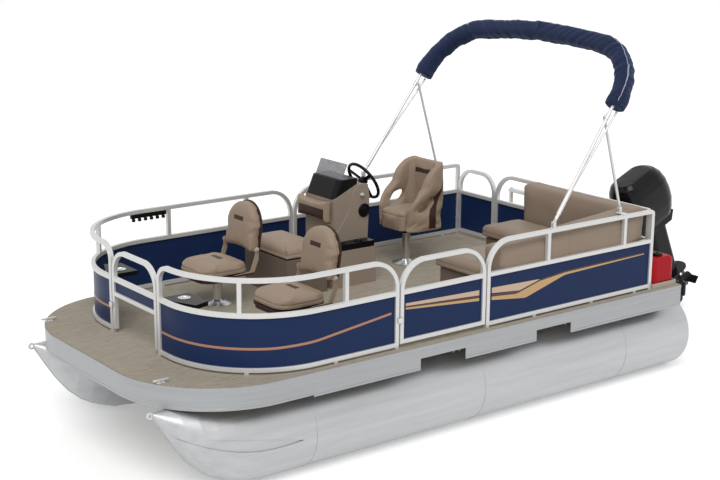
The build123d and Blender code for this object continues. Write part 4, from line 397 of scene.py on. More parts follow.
# The panels' stripes: cut vinyl film pressed on their outer faces. A copper pinstripe
# runs round the bow, and a tan and a gold wedge split and close along the port side.
PANEL_Y = 1.1585
FILM = 0.0016
GATE_POST_Y = 0.354

# Centre x and y, and radius, of the bow panels' outer face at the corner
BOW_ARC = (2.0307, 0.456, 0.7023)
BOW_ARC_START = BOW_ARC[1] - GATE_POST_Y


def alone(piece):
    """The next operator acts on this piece alone."""
    deselect()
    bpy.context.view_layer.objects.active = piece
    piece.select_set(True)


def applied(piece, kind, **settings):
    """A modifier with its settings, applied at once."""
    change = piece.modifiers.new(kind.lower(), kind)
    for key, value in settings.items():
        setattr(change, key, value)
    alone(piece)
    bpy.ops.object.modifier_apply(modifier=change.name)


def fitted(piece, name, body, slot, finish):
    """A finished piece takes its name, body and finish, and its place goes into its mesh."""
    alone(piece)
    bpy.ops.object.transform_apply(location=True, rotation=True, scale=True)
    piece.name = name
    piece.data.name = name
    piece.data.materials.clear()
    piece.data.materials.append(finish)
    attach(piece, body)
    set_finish(piece, slot)
    return piece


def smoothed(piece, angle=35):
    """Smooth shading up to a fold of the given angle."""
    alone(piece)
    bpy.ops.object.shade_smooth_by_angle(angle=math.radians(angle))


def band(name, body, slot, finish, steps, across, spot, thick, on=None, lift=0.0):
    """A thin strip: a grid whose points go to their place by share along and across it."""
    deselect()
    bpy.ops.mesh.primitive_grid_add(x_subdivisions=steps, y_subdivisions=across, size=2.0)
    strip = bpy.context.object
    for point in strip.data.vertices:
        point.co = spot((point.co.x + 1) / 2, (point.co.y + 1) / 2)
    if on:
        for point in strip.data.vertices:
            touch, out_way = on.closest_point_on_mesh(point.co)[1:3]
            point.co = touch + out_way * lift
    applied(strip, "SOLIDIFY", thickness=thick, offset=0.0)
    alone(strip)
    bpy.ops.object.mode_set(mode="EDIT")
    bpy.ops.mesh.select_all(action="SELECT")
    bpy.ops.mesh.normals_make_consistent(inside=False)
    bpy.ops.object.mode_set(mode="OBJECT")
    smoothed(strip)
    return fitted(strip, name, body, slot, finish)


def level_at(line, x):
    """The height of a line of (x, z) points at x."""
    for (x0, z0), (x1, z1) in zip(line, line[1:]):
        if x1 <= x <= x0:
            return z0 + (z1 - z0) * (x0 - x) / (x0 - x1)
    return line[-1][1] if x < line[-1][0] else line[0][1]


def bow_path(s):
    """A place round the bow panel's outer face, from the gate post aft."""
    arc_end = BOW_ARC_START + BOW_ARC[2] * math.pi / 2
    if s < BOW_ARC_START:
        return BOW_ARC[0] + BOW_ARC[2], GATE_POST_Y + s
    if s < arc_end:
        turn = (s - BOW_ARC_START) / BOW_ARC[2]
        return BOW_ARC[0] + BOW_ARC[2] * math.cos(turn), BOW_ARC[1] + BOW_ARC[2] * math.sin(turn)
    return BOW_ARC[0] - (s - arc_end), PANEL_Y


def film(name, color):
    """Cut vinyl film."""
    return moulded(name, color, 0.4, grain=60.0, strength=0.01, tone=0.06, gloss=0.3)


copper_film = film("copper_film", (0.40, 0.20, 0.13))
tan_film = film("tan_film", (0.56, 0.41, 0.30))
gold_film = film("gold_film", (0.52, 0.34, 0.16))
umber_film = film("umber_film", (0.09, 0.045, 0.035))

# Distances aft of the gate post with the stripe's height there, its run and its width
BOW_STRIPE = ((1.90, 1.045), (1.22, 0.962), (0.9, 0.948), (0.0, 0.948))
BOW_STRIPE_START, BOW_STRIPE_RUN, BOW_STRIPE_WIDTH = 0.004, 1.83, 0.017
for side, label in ((1, "port"), (-1, "starboard")):

    def bow_stripe(along, over, side=side):
        s = BOW_STRIPE_START + along * BOW_STRIPE_RUN
        x, y = bow_path(s)
        return Vector((x, side * y, level_at(BOW_STRIPE, s) + (over - 0.5) * BOW_STRIPE_WIDTH))

    band(f"bow_stripe_{label}", "hull", "panel_blue", copper_film, 56, 1, bow_stripe, FILM)

# Each wedge: name, film, its aft end, then the (x, z) points of its top and foot
WEDGES = (
    (
        "tan_wedge", tan_film, 0.006,
        ((1.275, 1.087), (0.597, 1.068), (0.482, 1.066), (0.018, 1.054), (0.006, 1.052)),
        ((1.275, 1.068), (0.595, 1.030), (0.48, 1.026), (0.201, 1.001), (0.006, 1.050)),
    ),
    (
        "umber_line", umber_film, -1.13,
        ((1.275, 1.066), (0.594, 1.026), (0.201, 0.999), (0.0, 1.050), (-0.26, 1.075), (-1.13, 1.087)),
        ((1.275, 1.058), (0.594, 1.010), (0.230, 0.980), (0.0, 1.041), (-0.26, 1.067), (-1.13, 1.080)),
    ),
    (
        "gold_wedge", gold_film, -1.13,
        ((1.275, 1.056), (0.594, 1.009), (0.235, 0.979), (0.0, 1.039), (-0.26, 1.063), (-1.13, 1.078)),
        ((1.275, 1.043), (0.594, 0.988), (0.144, 0.934), (-0.26, 1.045), (-1.13, 1.071)),
    ),
)
for label, finish, last_x, top, foot in WEDGES:
    for part, body, front_x, rear_x in (
        ("gate", "side_gate", 1.275, 0.600),
        ("aft", "hull", 0.478, last_x),
    ):

        def wedge(along, over, front_x=front_x, rear_x=rear_x, top=top, foot=foot):
            x = front_x + (rear_x - front_x) * along
            low, high = level_at(foot, x), level_at(top, x)
            return Vector((x, PANEL_Y, low + (high - low) * over))

        band(f"{label}_{part}", body, "panel_blue", finish, 60, 1, wedge, FILM)

# The upholstery: vinyl sewn over foam. Each pad is the space its solid holds, drawn in,
# blown up a little by its foam under a skin held at its foot, then sewn along its seams.
PRESSURE = 4.0
SOFT_FRAMES = 20
FOOT_HELD = 0.02


def held(value, low, high, give=0.003):
    """A coordinate kept between two limits, that yields a little past them."""
    if value < low:
        return low - give * (1 - math.exp((value - low) / give))
    if value > high:
        return high + give * (1 - math.exp((high - value) / give))
    return value


def loose_copy(node, name):
    """A merged copy of a solid's mesh as a new object."""
    copy = bpy.data.objects.new(name, nodes[node].data.copy())
    scene.collection.objects.link(copy)
    alone(copy)
    bpy.ops.object.mode_set(mode="EDIT")
    bpy.ops.mesh.select_all(action="SELECT")
    bpy.ops.mesh.remove_doubles(threshold=0.00005)
    bpy.ops.object.mode_set(mode="OBJECT")
    return copy


def shifted(piece, move):
    """Each point moves by what move gives for it, all from the shape before."""
    moves = [move(point) for point in piece.data.vertices]
    for point, step in zip(piece.data.vertices, moves):
        point.co += step


def upholstered(
    node, name, body, slot, finish, voxel,
    cap=0.026, draw_in=0.012, room=(0.003, 0.003), shape=None, pinned=None,
):
    """A crowned pad in the space of a soft solid.

    It swells by up to cap, and room is how far its sides and its top may pass the solid.
    """
    low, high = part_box(node)
    pad = loose_copy(node, name)
    if shape:
        for point in pad.data.vertices:
            point.co = shape(point.co.copy())
    applied(pad, "REMESH", mode="VOXEL", voxel_size=voxel)
    shifted(pad, lambda point: point.normal * -draw_in)
    applied(pad, "SMOOTH", factor=0.5, iterations=3)
    foot = low[2] + FOOT_HELD if pinned is None else pinned
    start = [p.co.copy() for p in pad.data.vertices]
    group = pad.vertex_groups.new(name="sewn")
    group.add([p.index for p in pad.data.vertices if p.co.z < foot + draw_in], 1.0, "REPLACE")
    foam = pad.modifiers.new("foam", "CLOTH")
    foam.settings.use_pressure = True
    foam.settings.uniform_pressure_force = PRESSURE
    foam.settings.effector_weights.gravity = 0.0
    foam.settings.vertex_group_mass = "sewn"
    foam.point_cache.frame_start = 1
    foam.point_cache.frame_end = SOFT_FRAMES
    for step in range(1, SOFT_FRAMES + 1):
        scene.frame_set(step)
    alone(pad)
    bpy.ops.object.modifier_apply(modifier=foam.name)
    scene.frame_set(1)
    pad.vertex_groups.clear()
    for point, before in zip(pad.data.vertices, start):
        move = point.co - before
        if move.length > 1e-6:
            point.co = before + move.normalized() * cap * (1 - math.exp(-move.length / cap))
        point.co.x = held(point.co.x, low[0] - room[0], high[0] + room[0])
        point.co.y = held(point.co.y, low[1] - room[0], high[1] + room[0])
        point.co.z = held(point.co.z, low[2], high[2] + room[1])
    applied(pad, "SMOOTH", factor=0.5, iterations=4)
    applied(pad, "SUBSURF", levels=1, render_levels=1)
    alone(pad)
    bpy.ops.object.shade_smooth()
    fitted(pad, name, body, slot, finish)
    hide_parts(node)
    return pad


def sewn(pad, reach, depth, width):
    """The skin is drawn in along a line; reach gives each point's distance to it."""

    def drawn_in(point):
        return point.normal * -depth * math.exp(-((reach(point.co, point.normal) / width) ** 2))

    shifted(pad, drawn_in)


def creased(pad, size, pitch):
    """Slow unevenness of the skin over its foam."""
    shifted(pad, lambda point: point.normal * size * noise.noise(point.co * pitch))


def twin(piece, name, body, move):
    """A copy with its own mesh, moved, on another body."""
    copy = bpy.data.objects.new(name, piece.data.copy())
    scene.collection.objects.link(copy)
    for point in copy.data.vertices:
        point.co += move
    copy.data.name = name
    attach(copy, body)
    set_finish(copy, piece["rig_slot"])
    return copy


# A reach too long for a seam to mark, and the steepest way that counts as upright
FAR = 9.0
UPRIGHT = 0.6


def level_seam(height):
    """The reach to a level seam round a pad's upright sides."""
    return lambda co, way: co.z - height if abs(way.z) < UPRIGHT else FAR


seat_vinyl = moulded(
    "seat_vinyl", (0.315, 0.238, 0.176), 0.5, grain=1100.0, strength=0.25, tone=0.08, gloss=0.2,
)
trim_vinyl = moulded(
    "brown_trim_vinyl", (0.042, 0.018, 0.014), 0.5, grain=1100.0, strength=0.2, tone=0.1, gloss=0.25,
)

# The bow chairs: a foam cushion with a falling front on a brown shell, and a round-headed
# back on a pair of hinge arms, with a brown shell behind it. Both turn on a pedestal.
PORT_TO_STARBOARD = Vector((0, -1.0, 0))
FOLD = Vector((1.5518, 0.5, 1.208))
seat_low, seat_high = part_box("bow_seat_cushion_port")
SEAT_MID_Y = (seat_low[1] + seat_high[1]) / 2


def falling_front(point):
    """The top falls over the front edge and a little to the back."""
    share = (point.x - seat_low[0]) / (seat_high[0] - seat_low[0])
    drop = 0.034 * max(0.0, (share - 0.62) / 0.38) ** 2 + 0.012 * max(0.0, 0.2 - share) / 0.2
    point.z -= drop * (point.z - seat_low[2]) / (seat_high[2] - seat_low[2])
    return point


cushion = upholstered(
    "bow_seat_cushion_port", "bow_cushion_port", "bow_seat_port", "seat_tan", seat_vinyl, 0.010,
    cap=0.030, draw_in=0.010, room=(0.002, 0.008), shape=falling_front,
)
sewn(cushion, level_seam(seat_low[2] + 0.040), 0.004, 0.006)
creased(cushion, 0.0025, 14.0)

# The crown comes down to the solid's top, where the folded back lies over it
crown = max(point.co.z for point in cushion.data.vertices)
for point in cushion.data.vertices:
    point.co.z -= (crown - seat_high[2]) * (point.co.z - seat_low[2]) / (crown - seat_low[2])
back_box_low, back_box_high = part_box("bow_seat_back_port")
back_pad = upholstered(
    "bow_seat_back_port", "bow_back_port", "bow_seat_back_port", "seat_tan", seat_vinyl, 0.010,
    cap=0.024, draw_in=0.008, room=(0.003, 0.006), pinned=back_box_low[2] - 0.02,
)
LEAN = math.radians(8.0)
back_way = Vector((math.cos(LEAN), 0, math.sin(LEAN)))


def side_seam(co, way):
    """The seam round the back pad, between its face and its side."""
    return (co - FOLD).dot(back_way) - 0.012 if abs(way.dot(back_way)) < UPRIGHT else FAR


sewn(back_pad, side_seam, 0.004, 0.006)
creased(back_pad, 0.002, 12.0)


def depth(point):
    """How far a point lies before the fold pin, across the leaning back."""
    return (point.co - FOLD).dot(back_way)


# So does the back's face to its solid's
face = max(depth(point) for point in nodes["bow_seat_back_port"].data.vertices)
crown = max(depth(point) for point in back_pad.data.vertices)
for point in back_pad.data.vertices:
    point.co -= back_way * max(0.0, depth(point)) * (1 - face / crown)
rear_shell = loose_copy("bow_seat_back_port", "bow_back_shell_port")
SHELL_MID = (back_box_low + back_box_high) / 2 - Vector((0.045, 0, 0))
SHELL_SHARE = 0.955
SHELL_BEHIND = 0.0475
SHELL_THINNED = 0.14
for point in rear_shell.data.vertices:
    deep = depth(point)
    point.co += back_way * (-SHELL_BEHIND + (deep + SHELL_BEHIND) * SHELL_THINNED - deep)
    point.co = SHELL_MID + (point.co - SHELL_MID) * SHELL_SHARE
smoothed(rear_shell)
fitted(rear_shell, "bow_back_shell_port", "bow_seat_back_port", "seat_shell", brown_mould)


def patch(centre, along, over, width, height):
    """A flat patch by its middle, two ways and size."""
    return lambda a, b: centre + along * (a - 0.5) * width + over * (b - 0.5) * height


back_up = Vector((-math.sin(LEAN), 0, math.cos(LEAN)))
back_badge = band(
    "bow_back_badge_port", "bow_seat_back_port", "seat_shell", trim_vinyl, 12, 4,
    patch(FOLD + back_up * 0.205 + back_way * 0.055, Vector((0, 1, 0)), back_up, 0.125, 0.032),
    0.002, back_pad, 0.0005,
)
seat_badge = band(
    "bow_seat_badge_port", "bow_seat_port", "seat_shell", trim_vinyl, 12, 4,
    patch(Vector((1.765, SEAT_MID_Y, seat_high[2])), Vector((0, 1, 0)), Vector((1, 0, 0)), 0.120, 0.036),
    0.002, cushion, 0.0005,
)
for piece, body in ((cushion, "bow_seat_starboard"), (back_pad, "bow_seat_back_starboard")):
    name = piece.name.replace("port", "starboard")
    copy = twin(piece, name, body, PORT_TO_STARBOARD)
    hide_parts("bow_seat_cushion_starboard" if piece == cushion else "bow_seat_back_starboard")
twin(rear_shell, "bow_back_shell_starboard", "bow_seat_back_starboard", PORT_TO_STARBOARD)
twin(back_badge, "bow_back_badge_starboard", "bow_seat_back_starboard", PORT_TO_STARBOARD)
twin(seat_badge, "bow_seat_badge_starboard", "bow_seat_starboard", PORT_TO_STARBOARD)


def turned(name, body, slot, finish, rings, centre, way=(0, 0, 1), sides=32, angle=35):
    """A turned piece: a disc extruded ring by ring to (radius, height) pairs."""
    deselect()
    bpy.ops.mesh.primitive_circle_add(
        vertices=sides, radius=rings[0][0], fill_type="NGON", location=(0, 0, 0)
    )
    piece = bpy.context.object
    bpy.ops.object.mode_set(mode="EDIT")
    bpy.ops.mesh.select_all(action="SELECT")
    bpy.ops.transform.translate(value=(0, 0, rings[0][1]))
    for (before, low), (after, high) in zip(rings, rings[1:]):
        bpy.ops.mesh.extrude_region_move(TRANSFORM_OT_translate={"value": (0, 0, high - low)})
        share = after / before
        bpy.ops.transform.resize(value=(share, share, 1), center_override=(0, 0, high))
    bpy.ops.mesh.select_all(action="SELECT")
    bpy.ops.mesh.normals_make_consistent(inside=False)
    bpy.ops.object.mode_set(mode="OBJECT")
    piece.rotation_euler = Vector(way).to_track_quat("Z", "Y").to_euler()
    piece.location = centre
    smoothed(piece, angle)
    return fitted(piece, name, body, slot, finish)


# The shell is brown; the hinge arms that rise from it are cast in cream.
shell_and_arms, tree, shader, skin = skinned(
    "seat_shell_and_arms", mould, {"Grain": 900.0, "Tone": 0.1, "Rough": 0.45, "Swing": 0.12}, (1, 1, 1)
)
height = tree.nodes.new("ShaderNodeTexCoord")
upward = tree.nodes.new("ShaderNodeSeparateXYZ")
tree.links.new(height.outputs["Object"], upward.inputs[0])
above = tree.nodes.new("ShaderNodeMath")
above.operation = "GREATER_THAN"
above.inputs[1].default_value = seat_low[2] + 0.004
tree.links.new(upward.outputs["Z"], above.inputs[0])
either = tree.nodes.new("ShaderNodeMix")
either.data_type = "RGBA"
either.inputs["A"].default_value = (0.040, 0.016, 0.011, 1)
either.inputs["B"].default_value = (0.36, 0.27, 0.20, 1)
tree.links.new(above.outputs[0], either.inputs["Factor"])

# The shade's own mix takes this colour in place of a fixed one
tree.links.new(either.outputs["Result"], tree.nodes["Mix"].inputs["A"])
relief(tree, shader, skin.outputs["Height"], 0.15, 0.0004, 0.003)
for piece in ("bow_seat_base_port", "bow_seat_base_starboard"):
    dress(piece, shell_and_arms)

HINGE_BOSS = ((0.020, 0.0), (0.020, 0.003), (0.016, 0.006), (0.008, 0.007), (0.007, 0.010), (0.004, 0.011))
cream_mould = moulded("cream_moulding", (0.46, 0.38, 0.31), 0.4, rounding=0.002)
for side, label in ((1, "left"), (-1, "right")):
    boss = turned(
        f"bow_hinge_{label}_port", "bow_seat_port", "seat_shell", cream_mould, HINGE_BOSS,
        FOLD + Vector((0, side * 0.2242, 0)), (0, side, 0), 24,
    )
    twin(boss, f"bow_hinge_{label}_starboard", "bow_seat_starboard", PORT_TO_STARBOARD)

# The helm chair: a bucket back that runs forward into both arms round a deep cushion,
# in vinyl, with a brown stripe down each side and a brown patch across the headrest.
helm_back_low, helm_back_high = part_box("helm_seat_back")
helm_cushion = upholstered(
    "helm_seat_cushion", "helm_cushion", "helm_seat", "seat_tan", seat_vinyl, 0.010,
    cap=0.026, room=(0.002, 0.008),
)
HELM_SEAM_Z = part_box("helm_seat_cushion")[1][2] - 0.05
HELM_SEAM_Y = -0.52
sewn(
    helm_cushion,
    lambda co, way: min(abs(co.z - HELM_SEAM_Z), abs(co.y - HELM_SEAM_Y)) if way.x > 0.5 else FAR,
    0.004, 0.006,
)
creased(helm_cushion, 0.0025, 12.0)
helm_back = upholstered(
    "helm_seat_back", "helm_back", "helm_seat", "seat_tan", seat_vinyl, 0.011, cap=0.022, draw_in=0.008,
    room=(0.006, 0.008),
)
HELM_MID_Y = (helm_back_low[1] + helm_back_high[1]) / 2
HELM_CHANNEL_Y = 0.185
HELM_CHANNEL_FOOT_Z = 1.36


def helm_channels(co, way):
    """The two upright channels on the face of the back, above the arms."""
    on_face = way.x > 0.5 and co.z > HELM_CHANNEL_FOOT_Z
    return abs(abs(co.y - HELM_MID_Y) - HELM_CHANNEL_Y) if on_face else FAR


sewn(helm_back, helm_channels, 0.004, 0.007)
creased(helm_back, 0.0025, 10.0)
band(
    "helm_badge", "helm_seat", "seat_shell", trim_vinyl, 16, 4,
    patch(Vector((-0.30, HELM_MID_Y, 1.545)), Vector((0, 1, 0)), Vector((-0.25, 0, 0.97)), 0.215, 0.040),
    0.003, helm_back, 0.001,
)

# The (x, z) points of the side stripes' front edge, from the head down
STRIPE_LINE = ((-0.425, 1.50), (-0.36, 1.44), (-0.29, 1.375), (-0.225, 1.30), (-0.20, 1.22), (-0.20, 1.10))
for side, label in ((1, "port"), (-1, "starboard")):

    def side_stripe(along, over, side=side):
        step = min(along * (len(STRIPE_LINE) - 1), len(STRIPE_LINE) - 1.001)
        first, share = int(step), step - int(step)
        x = STRIPE_LINE[first][0] * (1 - share) + STRIPE_LINE[first + 1][0] * share
        z = STRIPE_LINE[first][1] * (1 - share) + STRIPE_LINE[first + 1][1] * share
        wide = 0.028 + 0.052 * min(1.0, along * 1.4)
        return Vector((x - wide * over, HELM_MID_Y + side * 0.262, z))

    band(
        f"helm_stripe_{label}", "helm_seat", "seat_shell", trim_vinyl, 40, 6, side_stripe,
        0.003, helm_back, 0.001,
    )

# The bench before the console: a hinged padded lid on its box, and a rolled back pad on
# the console's face with a brown panel.
lid_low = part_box("bench_lid")[0]
LID_AFT_X = 0.8968
LID_FOOT_Z = 1.0764
LID_PIN = Vector((0.8908, 0, 1.0763))


def off_hinges(point):
    """The lid's foam ends before its hinge barrels."""
    point.x = max(point.x, LID_AFT_X)
    return point


lid = upholstered(
    "bench_lid", "bench_lid_pad", "bench_lid", "seat_tan", seat_vinyl, 0.012,
    room=(0.002, 0.006), shape=off_hinges,
)
for point in lid.data.vertices:
    point.co.z = max(point.co.z, LID_FOOT_Z)
sewn(lid, level_seam(lid_low[2] + 0.042), 0.004, 0.006)
creased(lid, 0.0025, 12.0)
HINGE_ROD = ((0.0045, 0.0), (0.005, 0.0006), (0.005, 0.0694), (0.0045, 0.070))
for number, hinge_y in enumerate((-0.752, -0.398)):
    turned(
        f"lid_hinge_{number}", "bench_lid", "steel", steel, HINGE_ROD,
        LID_PIN + Vector((0, hinge_y - 0.035, 0)), (0, 1, 0), 16,
    )
pad_low, pad_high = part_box("bench_back_pad")
bench_pad = upholstered(
    "bench_back_pad", "bench_back_roll", "hull", "seat_tan", seat_vinyl, 0.008, cap=0.020,
    draw_in=0.008, pinned=pad_low[2] - 0.02,
)
creased(bench_pad, 0.002, 12.0)
band(
    "bench_pad_panel", "hull", "seat_shell", trim_vinyl, 16, 6,
    patch(Vector((pad_high[0] + 0.01, -0.615, 1.345)), Vector((0, 1, 0)), Vector((0, 0, 1)), 0.33, 0.085),
    0.003, bench_pad, 0.001,
)

# The lounge: an L of box cushions with rolled fronts to port and across the stern, with
# thick rolled backs against the fences, in a greyer tan vinyl whose colour is set darker
# as painted shade from the fences.
# This colour is darker than the lounge's own tan. It is painted shade, because the fences shade the port
# back.
lounge_vinyl_with_painted_shade = moulded(
    "lounge_vinyl_with_painted_shade", (0.275, 0.212, 0.162), 0.5, grain=1100.0, strength=0.25, tone=0.08, gloss=0.2,
)
lounge = upholstered(
    "lounge_cushions", "lounge_seat", "hull", "seat_tan", lounge_vinyl_with_painted_shade, 0.016, cap=0.024, draw_in=0.010,
)
PORT_JOINT_X = -0.07
STERN_FROM_X = -0.56
STERN_JOINT_Y = 0.40
LOUNGE_SEAM_Z = 1.092


def lounge_seams(co, way):
    """The gaps between the cushions."""
    gap = abs(co.x - PORT_JOINT_X)
    if co.x < STERN_FROM_X:
        gap = min(gap, abs(co.y - STERN_JOINT_Y))
    return gap


sewn(lounge, lounge_seams, 0.014, 0.010)
sewn(lounge, level_seam(LOUNGE_SEAM_Z), 0.004, 0.009)
creased(lounge, 0.003, 8.0)
PORT_BACK_Y = 0.93
STERN_BACK_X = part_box("lounge_backs")[0][0] + 0.20
RISE_FROM, RISE_TO = 0.20, -0.90
RISE, FORE_DROP = 0.060, 0.055


def rising_aft(point):
    """The port back meets the stern back, rises towards it and is rounded down at its fore end."""
    if point.y > 0.92 and STERN_BACK_X + 0.00015 < point.x < STERN_BACK_X + 0.01:
        point.x -= 0.05
    if point.y > PORT_BACK_Y and 1.2 < point.z < 1.402:
        share = min(1.0, max(0.0, (RISE_FROM - point.x) / (RISE_FROM - RISE_TO)))
        point.z += RISE * share - FORE_DROP * max(0.0, (point.x - 0.25) / 0.142)
    return point


backs = upholstered(
    "lounge_backs", "lounge_back", "hull", "seat_tan", lounge_vinyl_with_painted_shade, 0.016, cap=0.024, draw_in=0.012,
    shape=rising_aft,
)


def back_seams(co, way):
    """The upright seams of the backs, and the crease where they meet."""
    if co.y > 0.90 and co.x > -0.96:
        return abs(co.x + 0.328)
    if co.x < -0.96:
        return min(abs(co.y - 0.38), abs((co.y - 0.93) + (co.x + 0.98)) if co.y > 0.8 else FAR)
    return FAR


sewn(backs, back_seams, 0.007, 0.009)
creased(backs, 0.003, 7.0)
band(
    "lounge_foot_strip", "hull", "seat_shell", trim_vinyl, 12, 3,
    patch(Vector((-1.08, -0.112, 1.068)), Vector((1, 0, 0)), Vector((0, 0, 1)), 0.19, 0.04),
    0.004, backs, 0.0015,
)

# The canopy's boot: a canvas sleeve zipped round the furled canopy along its bow,
# wrinkled across, with a pale piping along its upper edge.
boot_cloth = woven("boot_canvas", 1500.0, (0.012, 0.022, 0.070), (0.004, 0.008, 0.028), 0.75, 0.2, 0.4)
boot_cloth.node_tree.nodes["Principled BSDF"].inputs["Sheen Tint"].default_value = (0.45, 0.6, 1.0, 1)
CANOPY_FOOT = Vector((-0.1231, 0, 1.460))
CANOPY_TURN = math.radians(36.5)


def on_canopy(across_y, along, off):
    """A place in the canopy's leaning plane: across, along the bow, off its face."""
    x = CANOPY_FOOT.x - math.sin(CANOPY_TURN) * along + math.cos(CANOPY_TURN) * off
    z = CANOPY_FOOT.z + math.cos(CANOPY_TURN) * along + math.sin(CANOPY_TURN) * off
    return Vector((x, across_y, z))


boot = loose_copy("canopy_boot", "boot_sleeve")
applied(boot, "REMESH", mode="VOXEL", voxel_size=0.013)
applied(boot, "SMOOTH", factor=0.5, iterations=4)
applied(boot, "SUBSURF", levels=1, render_levels=1)


def wrinkled(point):
    """Folds, puckers and small creases across the sleeve, from three sizes of noise."""
    along = (point.co - CANOPY_FOOT).dot(Vector((-math.sin(CANOPY_TURN), 0, math.cos(CANOPY_TURN))))
    off = (point.co - CANOPY_FOOT).dot(Vector((math.cos(CANOPY_TURN), 0, math.sin(CANOPY_TURN))))
    run = abs(point.co.y) - along
    folds = noise.noise(Vector((run * 7.0, off * 5.0, math.copysign(3.0, point.co.y))))
    puckers = noise.noise(Vector((run * 20.0, off * 7.0, along * 3.0)))
    small = noise.noise(Vector((run * 55.0, off * 18.0, along * 8.0)))
    return point.normal * (0.011 * folds + 0.006 * puckers + 0.002 * small - 0.004)


shifted(boot, wrinkled)
alone(boot)
bpy.ops.object.shade_smooth()
fitted(boot, "boot_sleeve", "canopy", "canopy_blue", boot_cloth)
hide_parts("canopy_boot")


def bead(name, body, slot, finish, points, radius, on=None, lift=0.0):
    """A round cord of trim through points, laid on a surface where one is given."""
    line = bpy.data.curves.new(name, "CURVE")
    line.dimensions = "3D"
    run = line.splines.new("POLY")
    run.points.add(len(points) - 1)
    for knot, point in zip(run.points, points):
        if on:
            touch, out_way = on.closest_point_on_mesh(point)[1:3]
            point = touch + out_way * lift
        knot.co = (*point, 1)
    line.bevel_depth = radius
    line.bevel_resolution = 3
    line.use_fill_caps = True
    trim = bpy.data.objects.new(name, line)
    scene.collection.objects.link(trim)
    alone(trim)
    bpy.ops.object.convert(target="MESH")
    bpy.ops.object.shade_smooth()
    return fitted(trim, name, body, slot, finish)


# The piping is laid out as a top, two bends and two legs, each a share of its half run,
# in front of the boot, and then drawn onto the cloth.
PIPING_STEPS = 60
TOP_SHARE, BEND_SHARE, LEG_SHARE = 0.42, 0.30, 0.28
TOP_HALF, TOP_ALONG, BEND_R = 0.70, 1.70, 0.57
LEG_FROM, LEG_RUN = 1.50, 0.46
PIPING_OFF = 0.11
piping_line = []
for step in range(-PIPING_STEPS, PIPING_STEPS + 1):
    share = step / PIPING_STEPS
    if abs(share) > TOP_SHARE + BEND_SHARE:
        leg = (abs(share) - TOP_SHARE - BEND_SHARE) / LEG_SHARE
        y, along = TOP_HALF + BEND_R, LEG_FROM - leg * LEG_RUN
    elif abs(share) > TOP_SHARE:
        bend = (abs(share) - TOP_SHARE) / BEND_SHARE * math.pi / 2
        y, along = TOP_HALF + BEND_R * math.sin(bend), TOP_ALONG - BEND_R + BEND_R * math.cos(bend)
    else:
        y, along = TOP_HALF * abs(share) / TOP_SHARE, TOP_ALONG
    piping_line.append(on_canopy(math.copysign(y, share), along, PIPING_OFF))
piping = film("pale_piping", (0.34, 0.36, 0.42))
bead("boot_piping", "canopy", "canopy_blue", piping, piping_line, 0.003, boot, 0.001)

# The console's fittings: a moulded loudspeaker ring and a steel switch knob screwed to its
# port cheek, and two round gauges let into the face under the hood.
CHEEK_Y = -0.3998
SPEAKER = (
    (0.056, 0.0), (0.056, 0.006), (0.050, 0.011), (0.043, 0.011),
    (0.040, 0.005), (0.020, 0.008), (0.004, 0.009),
)
KNOB = ((0.020, 0.0), (0.020, 0.004), (0.014, 0.006), (0.013, 0.020), (0.010, 0.022), (0.003, 0.022))
GAUGE = ((0.036, 0.0), (0.036, 0.006), (0.032, 0.009), (0.029, 0.007), (0.003, 0.007))
GAUGE_WAY = (-0.928, 0, 0.371)
turned(
    "speaker_ring", "hull", "black_plastic", black_mould, SPEAKER,
    Vector((0.448, CHEEK_Y, 1.346)), (0, 1, 0), 40,
)
turned("switch_knob", "hull", "steel", steel, KNOB, Vector((0.469, CHEEK_Y, 1.471)), (0, 1, 0), 24)
for number, gauge_y in enumerate((-0.705, -0.455)):
    turned(
        f"dash_gauge_{number}", "hull", "black_plastic", black_mould, GAUGE,
        Vector((0.4105, gauge_y, 1.503)), GAUGE_WAY, 32,
    )

# The drink holders: cups with a rolled lip, dropped into the bow trays in pressed steel
# and into the console's tray in black plastic.
CUP = (
    (0.002, -0.030), (0.031, -0.030), (0.034, -0.004), (0.037, 0.001), (0.043, 0.001),
    (0.043, 0.003), (0.036, 0.003), (0.033, -0.002), (0.030, -0.028), (0.002, -0.028),
)
BOW_CUPS = ((2.6065, 0.449, 1.1865), (2.6065, -0.449, 1.1865))
CONSOLE_CUPS = ((0.7218, -0.3475, 1.1192), (0.5418, -0.3475, 1.1192))
cup_steel = metal("cup_steel", (0.66, 0.66, 0.67), (40.0, 40.0, 8.0), 0.28)
for number, spot in enumerate(BOW_CUPS):
    turned(f"bow_cup_{number}", "hull", "steel", cup_steel, CUP, Vector(spot), (0, 0, 1), 36)
for number, spot in enumerate(CONSOLE_CUPS):
    turned(
        f"console_cup_{number}", "hull", "black_plastic", black_mould, CUP,
        Vector(spot), (0, 0, 1), 36,
    )

# The rod rack: moulded black fingers between the rod slots of the tray that is screwed
# under the starboard rail.
FINGER_COUNT = 6
FINGER_FROM_X, FINGER_PITCH, FINGER_WIDTH = 1.850, 0.052, 0.026


def block(name, body, slot, finish, low, high, edge):
    """A block between two corners with its edges rounded over."""
    deselect()
    bpy.ops.mesh.primitive_cube_add(size=1.0, location=(Vector(low) + Vector(high)) / 2)
    piece = bpy.context.object
    piece.scale = Vector(high) - Vector(low)
    bpy.ops.object.transform_apply(location=True, rotation=True, scale=True)
    applied(piece, "BEVEL", width=edge, segments=3, limit_method="ANGLE")
    smoothed(piece)
    return fitted(piece, name, body, slot, finish)


for number in range(FINGER_COUNT):
    finger_x = FINGER_FROM_X + number * FINGER_PITCH
    block(
        f"rod_finger_{number}", "hull", "black_plastic", black_mould,
        (finger_x, -1.139, 1.336), (finger_x + FINGER_WIDTH, -1.118, 1.362), 0.006,
    )

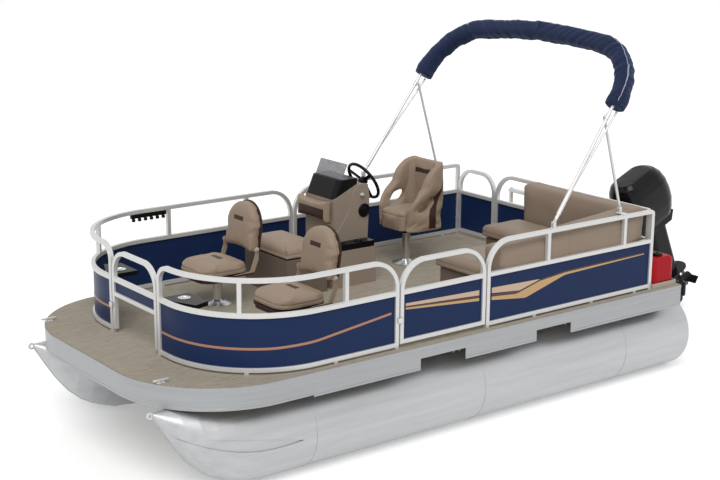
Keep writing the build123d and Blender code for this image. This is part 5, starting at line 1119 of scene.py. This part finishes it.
# The windscreen: a bent sheet of smoked acrylic, screwed to the hood's front edge.
smoke, tree, shader = new_material("smoked_acrylic")
shader.inputs["Base Color"].default_value = (0.30, 0.30, 0.32, 1)
shader.inputs["Roughness"].default_value = 0.06
shader.inputs["Transmission Weight"].default_value = 0.5
shader.inputs["Alpha"].default_value = 0.88
dress("windscreen", smoke)

# The fuel tank's moulded screw cap, and the tapered horns that stand on both of the
# moulded corner caps at the stern.
CAP = ((0.040, 0.0), (0.040, 0.018), (0.036, 0.022), (0.015, 0.023), (0.012, 0.028), (0.003, 0.029))
TANK_CAP_AT = Vector((-1.3555, 1.100, 1.017))
turned("tank_cap", "hull", "black_plastic", black_mould, CAP, TANK_CAP_AT, (0, 0, 1), 18, 20)
HORN = ((0.018, 0.0), (0.017, 0.006), (0.009, 0.016), (0.006, 0.040), (0.004, 0.056), (0.001, 0.060))
for side, label in ((1, "port"), (-1, "starboard")):
    turned(
        f"cap_horn_{label}", "hull", "black_plastic", black_mould, HORN,
        Vector((-1.570, side * 1.178, 0.784)), (0, 0, 1), 20,
    )

# The outboard: a cast drive under a moulded cowl, all in black paint.
drive_black = moulded(
    "drive_black_paint", (0.005, 0.005, 0.005), 0.28,
    grain=60.0, strength=0.02, tone=0.05, gloss=0.18, rounding=0.006,
)
for piece in ("drive_clamp", "drive_swivel", "drive_leg", "propeller"):
    dress(piece, drive_black)

# The cowl's faces are split and rounded off, then thinned out again in the same form
COWL_FACES_KEPT = 0.5
cowl = loose_copy("drive_cover", "drive_cowl")
applied(cowl, "SUBSURF", subdivision_type="SIMPLE", levels=2, render_levels=2)
applied(cowl, "SMOOTH", factor=0.5, iterations=12)
applied(cowl, "DECIMATE", ratio=COWL_FACES_KEPT)
smoothed(cowl, 50)
cowl_black = moulded(
    "cowl_gloss_paint", (0.003, 0.003, 0.003), 0.16, grain=60.0, strength=0.01, tone=0.05, gloss=0.22,
)
fitted(cowl, "drive_cowl", "outboard", "engine_black", cowl_black)
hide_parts("drive_cover")
dress("engine_block", metal("engine_iron", (0.25, 0.25, 0.26), (20.0, 20.0, 20.0), 0.6))
